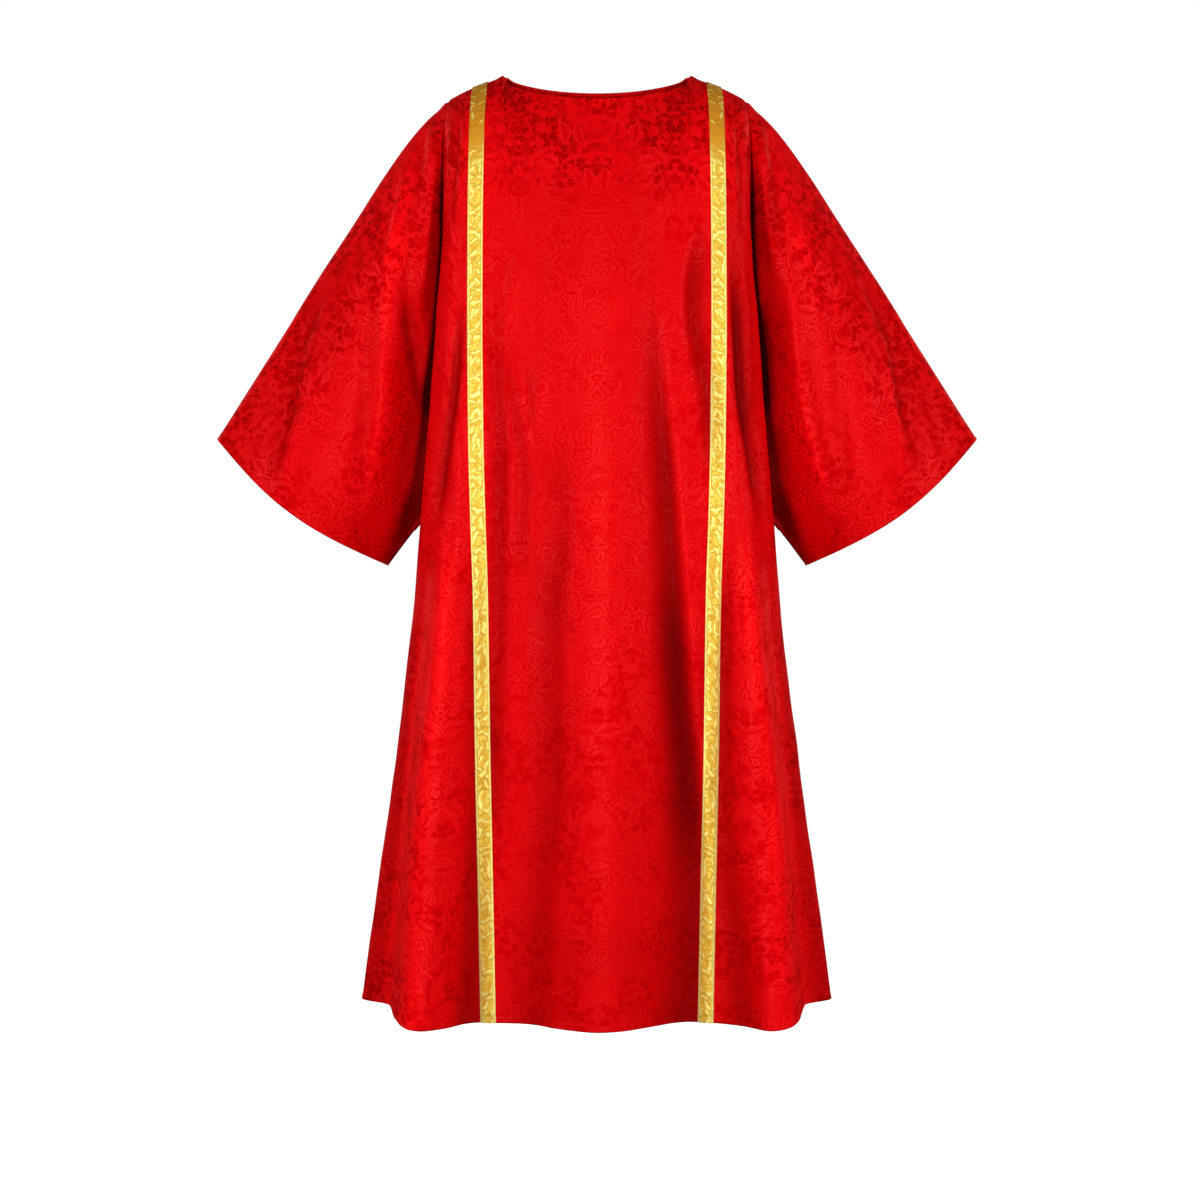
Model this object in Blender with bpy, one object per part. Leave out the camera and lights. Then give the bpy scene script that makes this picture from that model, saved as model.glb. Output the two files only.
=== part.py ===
"""Dalmatic: a knee-length vestment with wide open sleeves, in the form it has when worn.

The frame is metres with +Z up and +X to the wearer's left. The wearer faces -Y. The origin lies
between the two points where the neckline meets the shoulder ridge.
Every piece of cloth is a thin wall: a grid of outer points worked out from the tables below, and the
same grid moved in by the thickness of the cloth.
"""

import math

import bmesh
import bpy
import numpy as np

# Cloth
WALL = 0.0016            # damask of the body and the sleeves
BAND_WALL = 0.0012       # brocade of the bands
SEAM_GAP = 0.0003        # air between two pieces that are sewn together

# Neckline
NECK_HALF_WIDTH = 0.122
NECK_REACH = {"front": 0.105, "back": 0.082}
NECK_DROP = {"front": 0.0495, "back": 0.012}
BINDING_WIDTH = 0.006
BINDING_PROUD = 0.0005

# Bands
BAND_WIDTH = 0.020

# Shoulder
SHOULDER_ROUND = 0.080   # height over which a panel turns from the ridge to the chest

# Sleeves
CUFF_TIP = (0.510, 0.487)        # across, drop
CUFF_CORNER = (0.2805, 0.656)
CUFF_HALF_DEPTH = 0.066
CUFF_SWING = 0.019       # how far the middle of the cuff hangs past its two ends
CUFF_DEEPEST = 0.56      # where along the cuff the arm fills it most, 0 at the tip
TOP_FALL = 1.56          # fall of the sleeve's top for each metre across, where it reaches the tip
UPPER_ARM_FILL = 0.022   # how far the upper arm pushes the cloth out
# How long the sleeve keeps the direction in which it leaves the armhole, from the shoulder ridge
# round to the underarm
SEAM_LEADS = (0.190, 0.060, 0.100, 0.120, 0.012)
SEAM_LEAD_PLACES = (0.0, 0.25, 0.45, 0.8, 1.0)

# Grid
ROWS_ABOVE = 12          # rows down the armhole
ROWS_BELOW = 12          # rows from the underarm to the hem, the same on both sides of the seam
ROW_CROWDING = 1.9       # rows crowd towards the shoulder
NECK_COLUMNS = 6         # columns from the centre to the neck point
EVENING_DROP = 0.30      # below this the columns are spread evenly
SLEEVE_STATIONS = (0.0, 0.035, 0.08, 0.14, 0.22, 0.32, 0.44, 0.58, 0.72, 0.86, 1.0)

# Top of the shoulder and of the sleeve, seen from the front
RIDGE_COLUMNS = ("across", "drop")
RIDGE = (
    (0.1220, 0.0000),
    (0.1356, 0.0035),
    (0.1530, 0.0094),
    (0.1690, 0.0147),
    (0.1890, 0.0255),
    (0.1990, 0.0330),
    (0.2160, 0.0465),
)

# Half of the front, cut level at each drop. "across" is from the middle, "reach" is forwards.
# The cloth runs from the centre to the band, over a crest, turns back at a pleat's edge ("turn"),
# tucks behind it, and comes out again to the silhouette ("edge").
SECTION_COLUMNS = (
    "drop", "centre_reach", "band_across", "band_reach", "crest_across", "crest_reach",
    "turn_across", "turn_reach", "tuck_across", "tuck_reach", "edge_across", "edge_reach",
)
SECTIONS = {
    "front": (
        (0.000, 0.113, 0.1550, 0.078, 0.1690, 0.072, 0.1780, 0.066, 0.1860, 0.060, 0.1930, 0.055),
        (0.100, 0.130, 0.1578, 0.096, 0.1715, 0.088, 0.1815, 0.079, 0.1905, 0.070, 0.1990, 0.060),
        (0.210, 0.150, 0.1588, 0.112, 0.1725, 0.102, 0.1825, 0.092, 0.1925, 0.080, 0.2017, 0.064),
        (0.340, 0.160, 0.1588, 0.122, 0.1710, 0.115, 0.1815, 0.103, 0.1925, 0.088, 0.2124, 0.054),
        (0.440, 0.165, 0.1578, 0.128, 0.1725, 0.122, 0.1870, 0.105, 0.1920, 0.086, 0.2197, 0.046),
        (0.500, 0.168, 0.1570, 0.131, 0.1750, 0.125, 0.1930, 0.105, 0.1935, 0.083, 0.2244, 0.040),
        (0.593, 0.173, 0.1545, 0.135, 0.1770, 0.130, 0.2025, 0.104, 0.1975, 0.077, 0.2317, 0.028),
        (0.702, 0.178, 0.1510, 0.140, 0.1820, 0.138, 0.2150, 0.102, 0.2070, 0.070, 0.2397, 0.014),
        (0.900, 0.190, 0.1480, 0.146, 0.1920, 0.158, 0.2310, 0.106, 0.2210, 0.062, 0.2632, 0.000),
        (1.080, 0.200, 0.1440, 0.148, 0.2050, 0.176, 0.2560, 0.111, 0.2420, 0.056, 0.2885, -0.008),
        (1.250, 0.210, 0.1405, 0.149, 0.2170, 0.194, 0.2690, 0.115, 0.2530, 0.052, 0.3125, -0.014),
    ),
    "back": (
        (0.000, 0.086, 0.1550, 0.066, 0.1690, 0.062, 0.1780, 0.058, 0.1860, 0.054, 0.1930, 0.050),
        (0.100, 0.112, 0.1578, 0.090, 0.1715, 0.084, 0.1815, 0.077, 0.1905, 0.069, 0.1990, 0.060),
        (0.210, 0.130, 0.1588, 0.106, 0.1725, 0.100, 0.1825, 0.091, 0.1925, 0.080, 0.2017, 0.064),
        (0.340, 0.136, 0.1580, 0.112, 0.1730, 0.108, 0.1840, 0.098, 0.1950, 0.084, 0.2124, 0.056),
        (0.440, 0.138, 0.1570, 0.112, 0.1760, 0.112, 0.1900, 0.100, 0.2000, 0.084, 0.2197, 0.050),
        (0.500, 0.140, 0.1560, 0.112, 0.1780, 0.116, 0.1960, 0.102, 0.2040, 0.084, 0.2244, 0.046),
        (0.593, 0.146, 0.1540, 0.115, 0.1800, 0.124, 0.2050, 0.106, 0.2090, 0.084, 0.2317, 0.044),
        (0.702, 0.154, 0.1520, 0.119, 0.1850, 0.136, 0.2160, 0.112, 0.2170, 0.086, 0.2397, 0.048),
        (0.900, 0.170, 0.1500, 0.126, 0.1950, 0.158, 0.2330, 0.126, 0.2300, 0.094, 0.2600, 0.058),
        (1.080, 0.184, 0.1480, 0.131, 0.2060, 0.176, 0.2510, 0.137, 0.2450, 0.101, 0.2820, 0.068),
        (1.250, 0.196, 0.1460, 0.135, 0.2160, 0.190, 0.2630, 0.146, 0.2560, 0.106, 0.3010, 0.078),
    ),
}
HEM_DROP = {                     # at the centre, both edges of the band, crest ... edge, seam
    "front": (1.2527, 1.2490, 1.2490, 1.2527, 1.2515, 1.2430, 1.2360, 1.2360),
    "back": (1.2480, 1.2440, 1.2440, 1.2470, 1.2450, 1.2400, 1.2360, 1.2360),
}

# The armhole's seam, which goes on below the underarm as the side seam. "opening" is half the
# width of the armhole from front to back, "set_back" the middle of it. The outside of the cloth at
# the seam faces "facing" degrees round from the front to the side, and "dip" degrees downwards.
SEAM_COLUMNS = ("drop", "across", "opening", "set_back", "facing", "dip")
SEAM = (
    (0.033, 0.1990, 0.054, 0.000, 20.0, 0.0),
    (0.110, 0.2045, 0.054, 0.000, 35.0, 0.0),
    (0.210, 0.2025, 0.056, 0.000, 62.0, 0.0),
    (0.340, 0.2125, 0.046, 0.000, 84.0, 0.0),
    (0.440, 0.2195, 0.036, 0.000, 88.0, 0.0),
    (0.530, 0.2255, 0.022, 0.000, 90.0, 10.0),
    (0.593, 0.2300, 0.000, 0.000, 90.0, 45.0),
    (0.702, 0.2400, 0.000, 0.008, 90.0, 0.0),
    (0.900, 0.2640, 0.000, 0.022, 90.0, 0.0),
    (1.080, 0.2890, 0.000, 0.030, 90.0, 0.0),
    (1.250, 0.3135, 0.000, 0.036, 90.0, 0.0),
)
SEAM_TOP_DROP = SEAM[0][0]
UNDERARM_DROP = SEAM[6][0]

# Folds on the flat parts of the cloth, seen from the front: a line from a top end to a foot, how far
# the fold spreads to each side of it, and how high it stands. A trough has a height below zero.
FOLD_COLUMNS = ("top_across", "top_drop", "foot_across", "foot_drop", "half_width", "height")
FOLDS = {
    "front": (
        (-0.090, 0.420, -0.066, 1.200, 0.030, -0.011),
        (0.084, 0.400, 0.108, 1.120, 0.028, -0.014),
        (0.012, 0.350, 0.002, 1.210, 0.036, 0.006),
    ),
    "back": (
        (-0.058, 0.340, -0.080, 1.200, 0.030, -0.012),
        (0.052, 0.420, 0.066, 1.200, 0.030, -0.012),
        (-0.004, 0.520, -0.006, 1.220, 0.030, 0.006),
    ),
    "sleeve": (
        (0.215, 0.060, 0.231, 0.270, 0.012, 0.010),
        (0.264, 0.295, 0.227, 0.437, 0.014, -0.018),
        (0.260, 0.500, 0.274, 0.628, 0.017, -0.014),
        (0.358, 0.260, 0.430, 0.505, 0.018, -0.010),
        (0.291, 0.300, 0.302, 0.568, 0.020, -0.006),
    ),
}

# How far each key of a section lies from the centre, measured along the cloth at mid height
KEY_DISTANCES = (0.0, 0.149, 0.169, 0.190, 0.222, 0.256, 0.296, 0.318)
COLUMNS_PER_KEY = (8, 2, 2, 3, 3, 3, 2)

COLOURS = {
    "damask": ((0.66, 0.010, 0.014, 1.0), 0.45),
    "brocade": ((0.80, 0.50, 0.10, 1.0), 0.38),
}


def table_column(columns, rows, name):
    """One named column of a table, from top to bottom."""
    place = columns.index(name)
    return np.array([row[place] for row in rows])


def smooth(knots, values, at):
    """Smooth curve through the knots that never swings past them."""
    knots = np.asarray(knots, dtype=float)
    values = np.asarray(values, dtype=float)
    at = np.clip(np.asarray(at, dtype=float), knots[0], knots[-1])
    step = np.diff(knots)
    slope = np.diff(values) / step
    tangent = np.zeros_like(values)
    tangent[0], tangent[-1] = slope[0], slope[-1]
    before, after = slope[:-1], slope[1:]
    same_way = before * after > 0.0
    tangent[1:-1][same_way] = 2.0 * before[same_way] * after[same_way] / (before + after)[same_way]
    cell = np.clip(np.searchsorted(knots, at, side="right") - 1, 0, len(step) - 1)
    width = step[cell]
    t = (at - knots[cell]) / width
    rise = values[cell] * (1 + 2 * t) * (1 - t) ** 2 + values[cell + 1] * t * t * (3 - 2 * t)
    return rise + width * (tangent[cell] * t * (1 - t) ** 2 - tangent[cell + 1] * t * t * (1 - t))


def fold_height(piece, across, drop):
    """How far the folds of a piece move its cloth out, for arrays of places on it."""
    total = np.zeros_like(across)
    for top_across, top_drop, foot_across, foot_drop, half_width, height in FOLDS[piece]:
        run = math.hypot(foot_across - top_across, foot_drop - top_drop)
        way = ((foot_across - top_across) / run, (foot_drop - top_drop) / run)
        along = (across - top_across) * way[0] + (drop - top_drop) * way[1]
        beside = (across - top_across) * way[1] - (drop - top_drop) * way[0]
        faded = ease(along / (run * 0.35)) * ease((run * 1.15 - along) / (run * 0.15))
        spread = half_width * (0.6 + 0.4 * np.clip(along / run, 0.0, 1.0))
        total = total + height * faded * np.exp(-(beside / spread) ** 2)
    return total


def ease(value):
    """0 to 1 with a soft start and a soft end."""
    value = np.clip(value, 0.0, 1.0)
    return value * value * (3.0 - 2.0 * value)


def unit(vector):
    """The same direction with length 1."""
    vector = np.asarray(vector, dtype=float)
    return vector / np.linalg.norm(vector, axis=-1, keepdims=True)


def seam_value(name, drop):
    """One column of the seam's table at any drop."""
    return smooth(table_column(SEAM_COLUMNS, SEAM, "drop"), table_column(SEAM_COLUMNS, SEAM, name), drop)


def section_keys(side, drop):
    """Across and reach of the eight keys of a half section at one drop."""
    rows = SECTIONS[side]
    drops = table_column(SECTION_COLUMNS, rows, "drop")

    def at(name):
        return float(smooth(drops, table_column(SECTION_COLUMNS, rows, name), drop))

    forwards = -1.0 if side == "front" else 1.0
    seam_reach = float(seam_value("opening", drop)) + forwards * float(seam_value("set_back", drop))
    band = at("band_across")
    across = [0.0, band - BAND_WIDTH / 2, band + BAND_WIDTH / 2]
    reach = [at("centre_reach"), at("band_reach"), at("band_reach")]
    for key in ("crest", "turn", "tuck", "edge"):
        across.append(at(key + "_across"))
        reach.append(at(key + "_reach"))
    across.append(float(seam_value("across", drop)))
    reach.append(seam_reach)
    return across, reach


def section_point(side, distance, drop):
    """Across and reach at a distance along the cloth, on a curve that is the same left and right."""
    across, reach = section_keys(side, drop)
    distances = [-d for d in KEY_DISTANCES[:0:-1]] + list(KEY_DISTANCES)
    both_across = [-a for a in across[:0:-1]] + across
    both_reach = reach[:0:-1] + reach
    return float(smooth(distances, both_across, distance)), float(smooth(distances, both_reach, distance))


def half_columns():
    """For each column from the centre to the seam: its distance at the top and lower down."""
    low = [0.0]
    for start, end, count in zip(KEY_DISTANCES, KEY_DISTANCES[1:], COLUMNS_PER_KEY):
        low += [start + (end - start) * i / count for i in range(1, count + 1)]
    top = list(low)
    neck_edge = NECK_HALF_WIDTH + BINDING_WIDTH + SEAM_GAP
    for i in range(NECK_COLUMNS + 1):
        top[i] = neck_edge * math.sin(math.pi / 2 * i / NECK_COLUMNS)
    gap_columns = COLUMNS_PER_KEY[0] - NECK_COLUMNS
    for i in range(1, gap_columns):
        top[NECK_COLUMNS + i] = neck_edge + (KEY_DISTANCES[1] - neck_edge) * i / gap_columns
    return top, low


def top_of_column(side, index, across):
    """Drop and reach of the panel's upper edge, and how suddenly the panel turns down from it."""
    if index > NECK_COLUMNS:
        ridge_drop = smooth(table_column(RIDGE_COLUMNS, RIDGE, "across"),
                            table_column(RIDGE_COLUMNS, RIDGE, "drop"), across)
        return float(ridge_drop), 0.0, 0.5
    facing = math.cos(math.pi / 2 * index / NECK_COLUMNS)
    grown = 1.0 + (BINDING_WIDTH + SEAM_GAP) / NECK_REACH[side]
    return NECK_DROP[side] * grown * facing, NECK_REACH[side] * grown * facing, 0.5 + 0.5 * facing


def row_fractions(side):
    """Where each row lies between the top of the panel and the hem."""
    armhole = (UNDERARM_DROP - SEAM_TOP_DROP) / (HEM_DROP[side][-1] - SEAM_TOP_DROP)
    upper = [armhole * (i / ROWS_ABOVE) ** ROW_CROWDING for i in range(ROWS_ABOVE + 1)]
    return upper + [armhole + (1.0 - armhole) * i / ROWS_BELOW for i in range(1, ROWS_BELOW + 1)]


def panel_half(side):
    """Outer points of the +X half of a panel, as rows of columns from the centre to the seam."""
    sign = -1.0 if side == "front" else 1.0
    top, low = half_columns()
    rows = [[] for _ in row_fractions(side)]
    for index, (top_distance, low_distance) in enumerate(zip(top, low)):
        top_across = section_point(side, top_distance, 0.0)[0]
        top_drop, top_reach, sharpness = top_of_column(side, index, top_across)
        hem_drop = float(smooth(KEY_DISTANCES, HEM_DROP[side], low_distance))
        for row, fraction in enumerate(row_fractions(side)):
            drop = top_drop + fraction * (hem_drop - top_drop)
            below_top = drop - top_drop
            spread = float(ease(below_top / EVENING_DROP))
            distance = top_distance + spread * (low_distance - top_distance)
            across, reach = section_point(side, distance, drop)
            turned = min(1.0, below_top / SHOULDER_ROUND) ** sharpness
            reach = top_reach + (reach - top_reach) * math.sin(math.pi / 2 * turned)
            rows[row].append((across, sign * reach, -drop))
    points = np.array(rows)
    part_way = sign * SEAM_GAP / 2
    points[0, NECK_COLUMNS:, 1] += part_way
    points[ROWS_ABOVE:, -1, 1] += part_way
    return points


def grid_normals(points, outward_hint):
    """Outward normal at each point of a grid: the mean of the faces round it."""
    across = points[:-1, 1:] - points[:-1, :-1] + points[1:, 1:] - points[1:, :-1]
    down = points[1:, :-1] - points[:-1, :-1] + points[1:, 1:] - points[:-1, 1:]
    faces = unit(np.cross(down, across))
    if np.sum(faces * outward_hint) < 0.0:
        faces = -faces
    total = np.zeros_like(points)
    total[:-1, :-1] += faces
    total[1:, :-1] += faces
    total[:-1, 1:] += faces
    total[1:, 1:] += faces
    return unit(total)


def seam_frame(points):
    """Along the armhole's rows: outward normal, and the way from the body into the sleeve."""
    rows = points[:ROWS_ABOVE + 2, -1]
    along = unit(np.gradient(rows, axis=0))[:ROWS_ABOVE + 1]
    forwards = np.sign(rows[1, 1])
    along[0] = (0.0, forwards, 0.0)
    along[ROWS_ABOVE] = (0.0, -forwards, 0.0)
    drop = -rows[:ROWS_ABOVE + 1, 2]
    facing = np.radians(seam_value("facing", drop))
    dip = np.radians(seam_value("dip", drop))
    lift = np.radians(90.0) * (1.0 - np.clip((drop - drop[0]) / SHOULDER_ROUND, 0.0, 1.0) ** 0.5)
    level = np.stack([np.sin(facing), forwards * np.cos(facing), np.zeros_like(drop)], axis=-1)
    up = np.array([0.0, 0.0, 1.0])
    pitch = (lift - dip)[:, None]
    normal = level * np.cos(pitch) + up * np.sin(pitch)
    normal[0] = ridge_normal(rows[0, 0])
    normal = unit(normal - along * np.sum(normal * along, axis=-1, keepdims=True))
    onward = unit(np.cross(along, normal)) * forwards
    return normal, onward


def ridge_normal(across):
    """Upward normal of the shoulder ridge, with no part of it to the front or back."""
    knots = table_column(RIDGE_COLUMNS, RIDGE, "across")
    drops = table_column(RIDGE_COLUMNS, RIDGE, "drop")
    step = 0.002
    fall = (smooth(knots, drops, across + step) - smooth(knots, drops, across - step)) / (2 * step)
    return unit((float(fall), 0.0, 1.0))


def panel(side):
    """Outer points and normals of a whole panel, from the -X seam to the +X seam."""
    half = panel_half(side)
    sign = -1.0 if side == "front" else 1.0
    mirrored = half[:, :0:-1] * np.array([-1.0, 1.0, 1.0])
    points = np.concatenate([mirrored, half], axis=1)
    points[..., 1] += sign * fold_height(side, points[..., 0], -points[..., 2])
    normals = grid_normals(points, np.array([0.0, sign, 0.0]))
    centre = half.shape[1] - 1
    mirror = np.array([-1.0, 1.0, 1.0])
    for column in range(NECK_COLUMNS, centre + 1):
        normals[0, centre + column] = ridge_normal(points[0, centre + column, 0])
        normals[0, centre - column] = normals[0, centre + column] * mirror
    normals[:ROWS_ABOVE + 1, -1] = seam_frame(half)[0]
    for row in range(ROWS_ABOVE + 1, points.shape[0]):
        normals[row, -1] = side_seam_normal(points[:, -1], row)
    normals[:, 0] = normals[:, -1] * mirror
    return points, normals


def side_seam_normal(column, row):
    """Sideways normal of the side seam, with no part of it to the front or back."""
    below = column[min(row + 1, len(column) - 1)]
    above = column[row - 1]
    fall = (below[0] - above[0]) / (above[2] - below[2])
    return unit((1.0, 0.0, float(fall)))


def wall(mesh, points, normals, thickness, lift=0.0, closed=False):
    """Add a wall to a mesh: the outer grid lifted off by lift, and an inner grid under it."""
    outer = points + normals * (lift + thickness)
    inner = points + normals * lift
    rows, columns = points.shape[:2]
    outside = [[mesh.verts.new(outer[r, c]) for c in range(columns)] for r in range(rows)]
    inside = [[mesh.verts.new(inner[r, c]) for c in range(columns)] for r in range(rows)]
    steps = columns if closed else columns - 1
    for c in range(steps):
        n = (c + 1) % columns
        for r in range(rows - 1):
            mesh.faces.new((outside[r][c], outside[r + 1][c], outside[r + 1][n], outside[r][n]))
            mesh.faces.new((inside[r][n], inside[r + 1][n], inside[r + 1][c], inside[r][c]))
        mesh.faces.new((inside[0][c], outside[0][c], outside[0][n], inside[0][n]))
        mesh.faces.new((inside[-1][n], outside[-1][n], outside[-1][c], inside[-1][c]))
    if not closed:
        for r in range(rows - 1):
            mesh.faces.new((inside[r + 1][0], outside[r + 1][0], outside[r][0], inside[r][0]))
            mesh.faces.new((inside[r][-1], outside[r][-1], outside[r + 1][-1], inside[r + 1][-1]))


def add_object(name, mesh, cloth):
    """Close a mesh off with outward faces and put it in the scene with its own material."""
    bmesh.ops.triangulate(mesh, faces=mesh.faces[:])
    bmesh.ops.recalc_face_normals(mesh, faces=mesh.faces[:])
    data = bpy.data.meshes.new(name)
    mesh.to_mesh(data)
    mesh.free()
    data.shade_smooth()
    data.set_sharp_from_angle(angle=math.radians(50.0))
    colour, roughness = COLOURS[cloth]
    material = bpy.data.materials.new(name + "_" + cloth)
    material.use_nodes = True
    shader = material.node_tree.nodes["Principled BSDF"]
    shader.inputs["Base Color"].default_value = colour
    shader.inputs["Roughness"].default_value = roughness
    data.materials.append(material)
    item = bpy.data.objects.new(name, data)
    bpy.context.scene.collection.objects.link(item)
    return item


def add_panel(side):
    """The front or the back of the body."""
    points, normals = panel(side)
    mesh = bmesh.new()
    wall(mesh, points - normals * WALL, normals, WALL)
    return add_object(side + "_panel", mesh, "damask")


def sleeve_ring_ends():
    """Where each lengthwise line of the +X sleeve starts, which way, and where on the cuff it ends."""
    starts, normals, leads, along_cuff, sides = [], [], [], [], []
    for side in ("front", "back"):
        half = panel_half(side)
        normal, onward = seam_frame(half)
        order = range(ROWS_ABOVE + 1) if side == "front" else range(ROWS_ABOVE - 1, 0, -1)
        for row in order:
            start = half[row, -1].copy()
            if row in (0, ROWS_ABOVE):
                start[1] = 0.0
            fraction = row / ROWS_ABOVE
            lead = float(smooth(SEAM_LEAD_PLACES, SEAM_LEADS, fraction))
            starts.append(start + onward[row] * SEAM_GAP)
            normals.append(normal[row])
            leads.append(onward[row] * lead)
            along_cuff.append(fraction)
            sides.append(-1.0 if side == "front" else 1.0)
    return np.array(starts), np.array(normals), np.array(leads), np.array(along_cuff), np.array(sides)


def sleeve():
    """Outer points and normals of the +X sleeve: rows from the armhole to the cuff, columns round."""
    starts, seam_normals, leads, along_cuff, sides = sleeve_ring_ends()
    tip = np.array([CUFF_TIP[0], 0.0, -CUFF_TIP[1]])
    corner = np.array([CUFF_CORNER[0], 0.0, -CUFF_CORNER[1]])
    chord = corner - tip
    arm_way = unit((-chord[2], 0.0, chord[0]))
    skewed = along_cuff ** (math.log(0.5) / math.log(CUFF_DEEPEST))
    bow = np.sin(math.pi * skewed)
    ends = tip + along_cuff[:, None] * chord
    ends = ends + arm_way * (CUFF_SWING * np.sin(math.pi * along_cuff))[:, None]
    ends[:, 1] += sides * CUFF_HALF_DEPTH * bow ** 0.85
    top_way = unit((1.0, 0.0, -TOP_FALL))
    end_ways = unit(top_way + ease(along_cuff * 3.0)[:, None] * (arm_way - top_way))
    lengths = np.linalg.norm(ends - starts, axis=1)[:, None]
    rings = []
    for t in SLEEVE_STATIONS:
        ring = (starts * (1 + 2 * t) * (1 - t) ** 2 + ends * t * t * (3 - 2 * t)
                + leads * t * (1 - t) ** 2 - end_ways * lengths * t * t * (1 - t))
        filled = UPPER_ARM_FILL * math.sin(math.pi * t) * np.sin(math.pi * along_cuff ** 0.7)
        fading = float(ease(t / 0.1)) * np.sin(math.pi * along_cuff) ** 0.5
        folded = fading * fold_height("sleeve", ring[:, 0], -ring[:, 2])
        ring[:, 1] += sides * (filled + folded)
        rings.append(ring)
    points = np.array(rings)
    wrapped = np.concatenate([points[:, -1:], points, points[:, :1]], axis=1)
    hint = wrapped.mean(axis=1, keepdims=True)
    normals = grid_normals(wrapped, (wrapped - hint)[:-1, :-1])[:, 1:-1]
    normals[0] = seam_normals
    return points, normals


def add_sleeves():
    """Both sleeves, each a tube from the armhole to the open cuff."""
    points, normals = sleeve()
    made = []
    for name, flip in (("left", 1.0), ("right", -1.0)):
        mirror = np.array([flip, 1.0, 1.0])
        mesh = bmesh.new()
        wall(mesh, (points - normals * WALL) * mirror, normals * mirror, WALL, closed=True)
        made.append(add_object("sleeve_" + name, mesh, "damask"))
    return made


def band_grid(flip):
    """The panels' own points and normals under a band, from the front hem over to the back hem."""
    strips = []
    for side in ("front", "back"):
        points, normals = panel(side)
        centre = points.shape[1] // 2
        columns = [centre + flip * (COLUMNS_PER_KEY[0] + i) for i in range(COLUMNS_PER_KEY[1] + 1)]
        strips.append((points[:, columns], normals[:, columns]))
    (front, front_normals), (back, back_normals) = strips
    ridge = (front[:1] + back[:1]) / 2
    points = np.concatenate([front[:0:-1], ridge, back[1:]])
    normals = np.concatenate([front_normals[:0:-1], front_normals[:1], back_normals[1:]])
    return points, normals


def add_bands():
    """The two brocade bands, which lie on the front and the back and cross the shoulders."""
    made = []
    for name, flip in (("left", 1), ("right", -1)):
        points, normals = band_grid(flip)
        mesh = bmesh.new()
        wall(mesh, points, normals, BAND_WALL, lift=SEAM_GAP)
        made.append(add_object("band_" + name, mesh, "brocade"))
    return made


def neck_edge():
    """Points and normals round the neck edge of the two panels, as one ring."""
    points, normals = [], []
    for side, order in (("front", 1), ("back", -1)):
        grid, grid_n = panel(side)
        centre = grid.shape[1] // 2
        first, last = (0, 0) if side == "front" else (1, 1)
        columns = range(centre - NECK_COLUMNS + first, centre + NECK_COLUMNS + 1 - last)
        for column in list(columns)[::order]:
            points.append(grid[0, column])
            normals.append(grid_n[0, column])
    points = np.array(points)
    points[[0, 2 * NECK_COLUMNS], 1] = 0.0
    return points, np.array(normals)


def add_neck_binding():
    """The narrow strip of the same cloth that binds the neckline."""
    points, normals = neck_edge()
    along = unit(np.roll(points, -1, axis=0) - np.roll(points, 1, axis=0))
    inward = unit(np.cross(along, normals))
    inward[np.sum(inward * (points * np.array([1.0, 1.0, 0.0])), axis=1) > 0.0] *= -1.0
    normals = unit(np.cross(inward, along))
    normals[normals[:, 2] < 0.0] *= -1.0
    thickness = WALL + 2 * BINDING_PROUD
    rounded = thickness * 0.3
    profile = (                  # towards the neck, out of the cloth
        (SEAM_GAP, BINDING_PROUD),
        (SEAM_GAP + BINDING_WIDTH - rounded, BINDING_PROUD),
        (SEAM_GAP + BINDING_WIDTH, BINDING_PROUD - thickness / 2),
        (SEAM_GAP + BINDING_WIDTH - rounded, BINDING_PROUD - thickness),
        (SEAM_GAP, BINDING_PROUD - thickness),
    )
    mesh = bmesh.new()
    rings = []
    for away, out in profile:
        ring = points + inward * away + normals * out
        rings.append([mesh.verts.new(place) for place in ring])
    count = len(points)
    for ring, other in zip(rings, rings[1:] + rings[:1]):
        for i in range(count):
            n = (i + 1) % count
            mesh.faces.new((ring[i], ring[n], other[n], other[i]))
    return add_object("neck_binding", mesh, "damask")


def main():
    for item in list(bpy.data.objects):
        bpy.data.objects.remove(item, do_unlink=True)
    add_panel("front")
    add_panel("back")
    add_sleeves()
    add_bands()
    add_neck_binding()


main()
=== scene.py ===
# %% [markdown]
# # A dalmatic in red damask
# A dalmatic is a knee-length vestment with wide open sleeves. This lesson dresses its solid model:
# the plain walls of the solids are replaced with thin cloth, which has creases, hems, gold bands,
# stitches and a woven figure. Lengths are metres, +Z is up, and the wearer faces -Y.
# The solid model comes in first. Its box is kept, so that the cloth can be held to the same size.

import math

import bmesh
import bpy
import numpy as np
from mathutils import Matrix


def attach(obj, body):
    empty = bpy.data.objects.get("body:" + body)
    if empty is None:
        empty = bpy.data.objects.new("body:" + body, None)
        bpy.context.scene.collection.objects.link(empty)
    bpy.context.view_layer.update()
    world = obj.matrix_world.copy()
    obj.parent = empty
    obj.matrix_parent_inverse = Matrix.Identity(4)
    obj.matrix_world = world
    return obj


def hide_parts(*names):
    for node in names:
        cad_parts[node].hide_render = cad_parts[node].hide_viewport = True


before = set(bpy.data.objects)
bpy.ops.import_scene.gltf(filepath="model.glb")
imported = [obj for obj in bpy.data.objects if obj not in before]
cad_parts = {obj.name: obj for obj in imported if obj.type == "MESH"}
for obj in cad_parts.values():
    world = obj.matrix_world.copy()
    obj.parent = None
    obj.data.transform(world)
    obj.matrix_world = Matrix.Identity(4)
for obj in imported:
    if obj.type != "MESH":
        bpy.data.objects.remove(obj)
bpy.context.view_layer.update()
BODY = "root"            # the one body of a part without joints
SIDES = ("front", "back")
MM = 0.001               # most tables below are in millimetres

# %% [markdown]
# ## Camera
# The garment is seen straight from the front, from a level camera with a long lens, so that the near
# and the far edges of the sleeves have almost the same scale.

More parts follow.
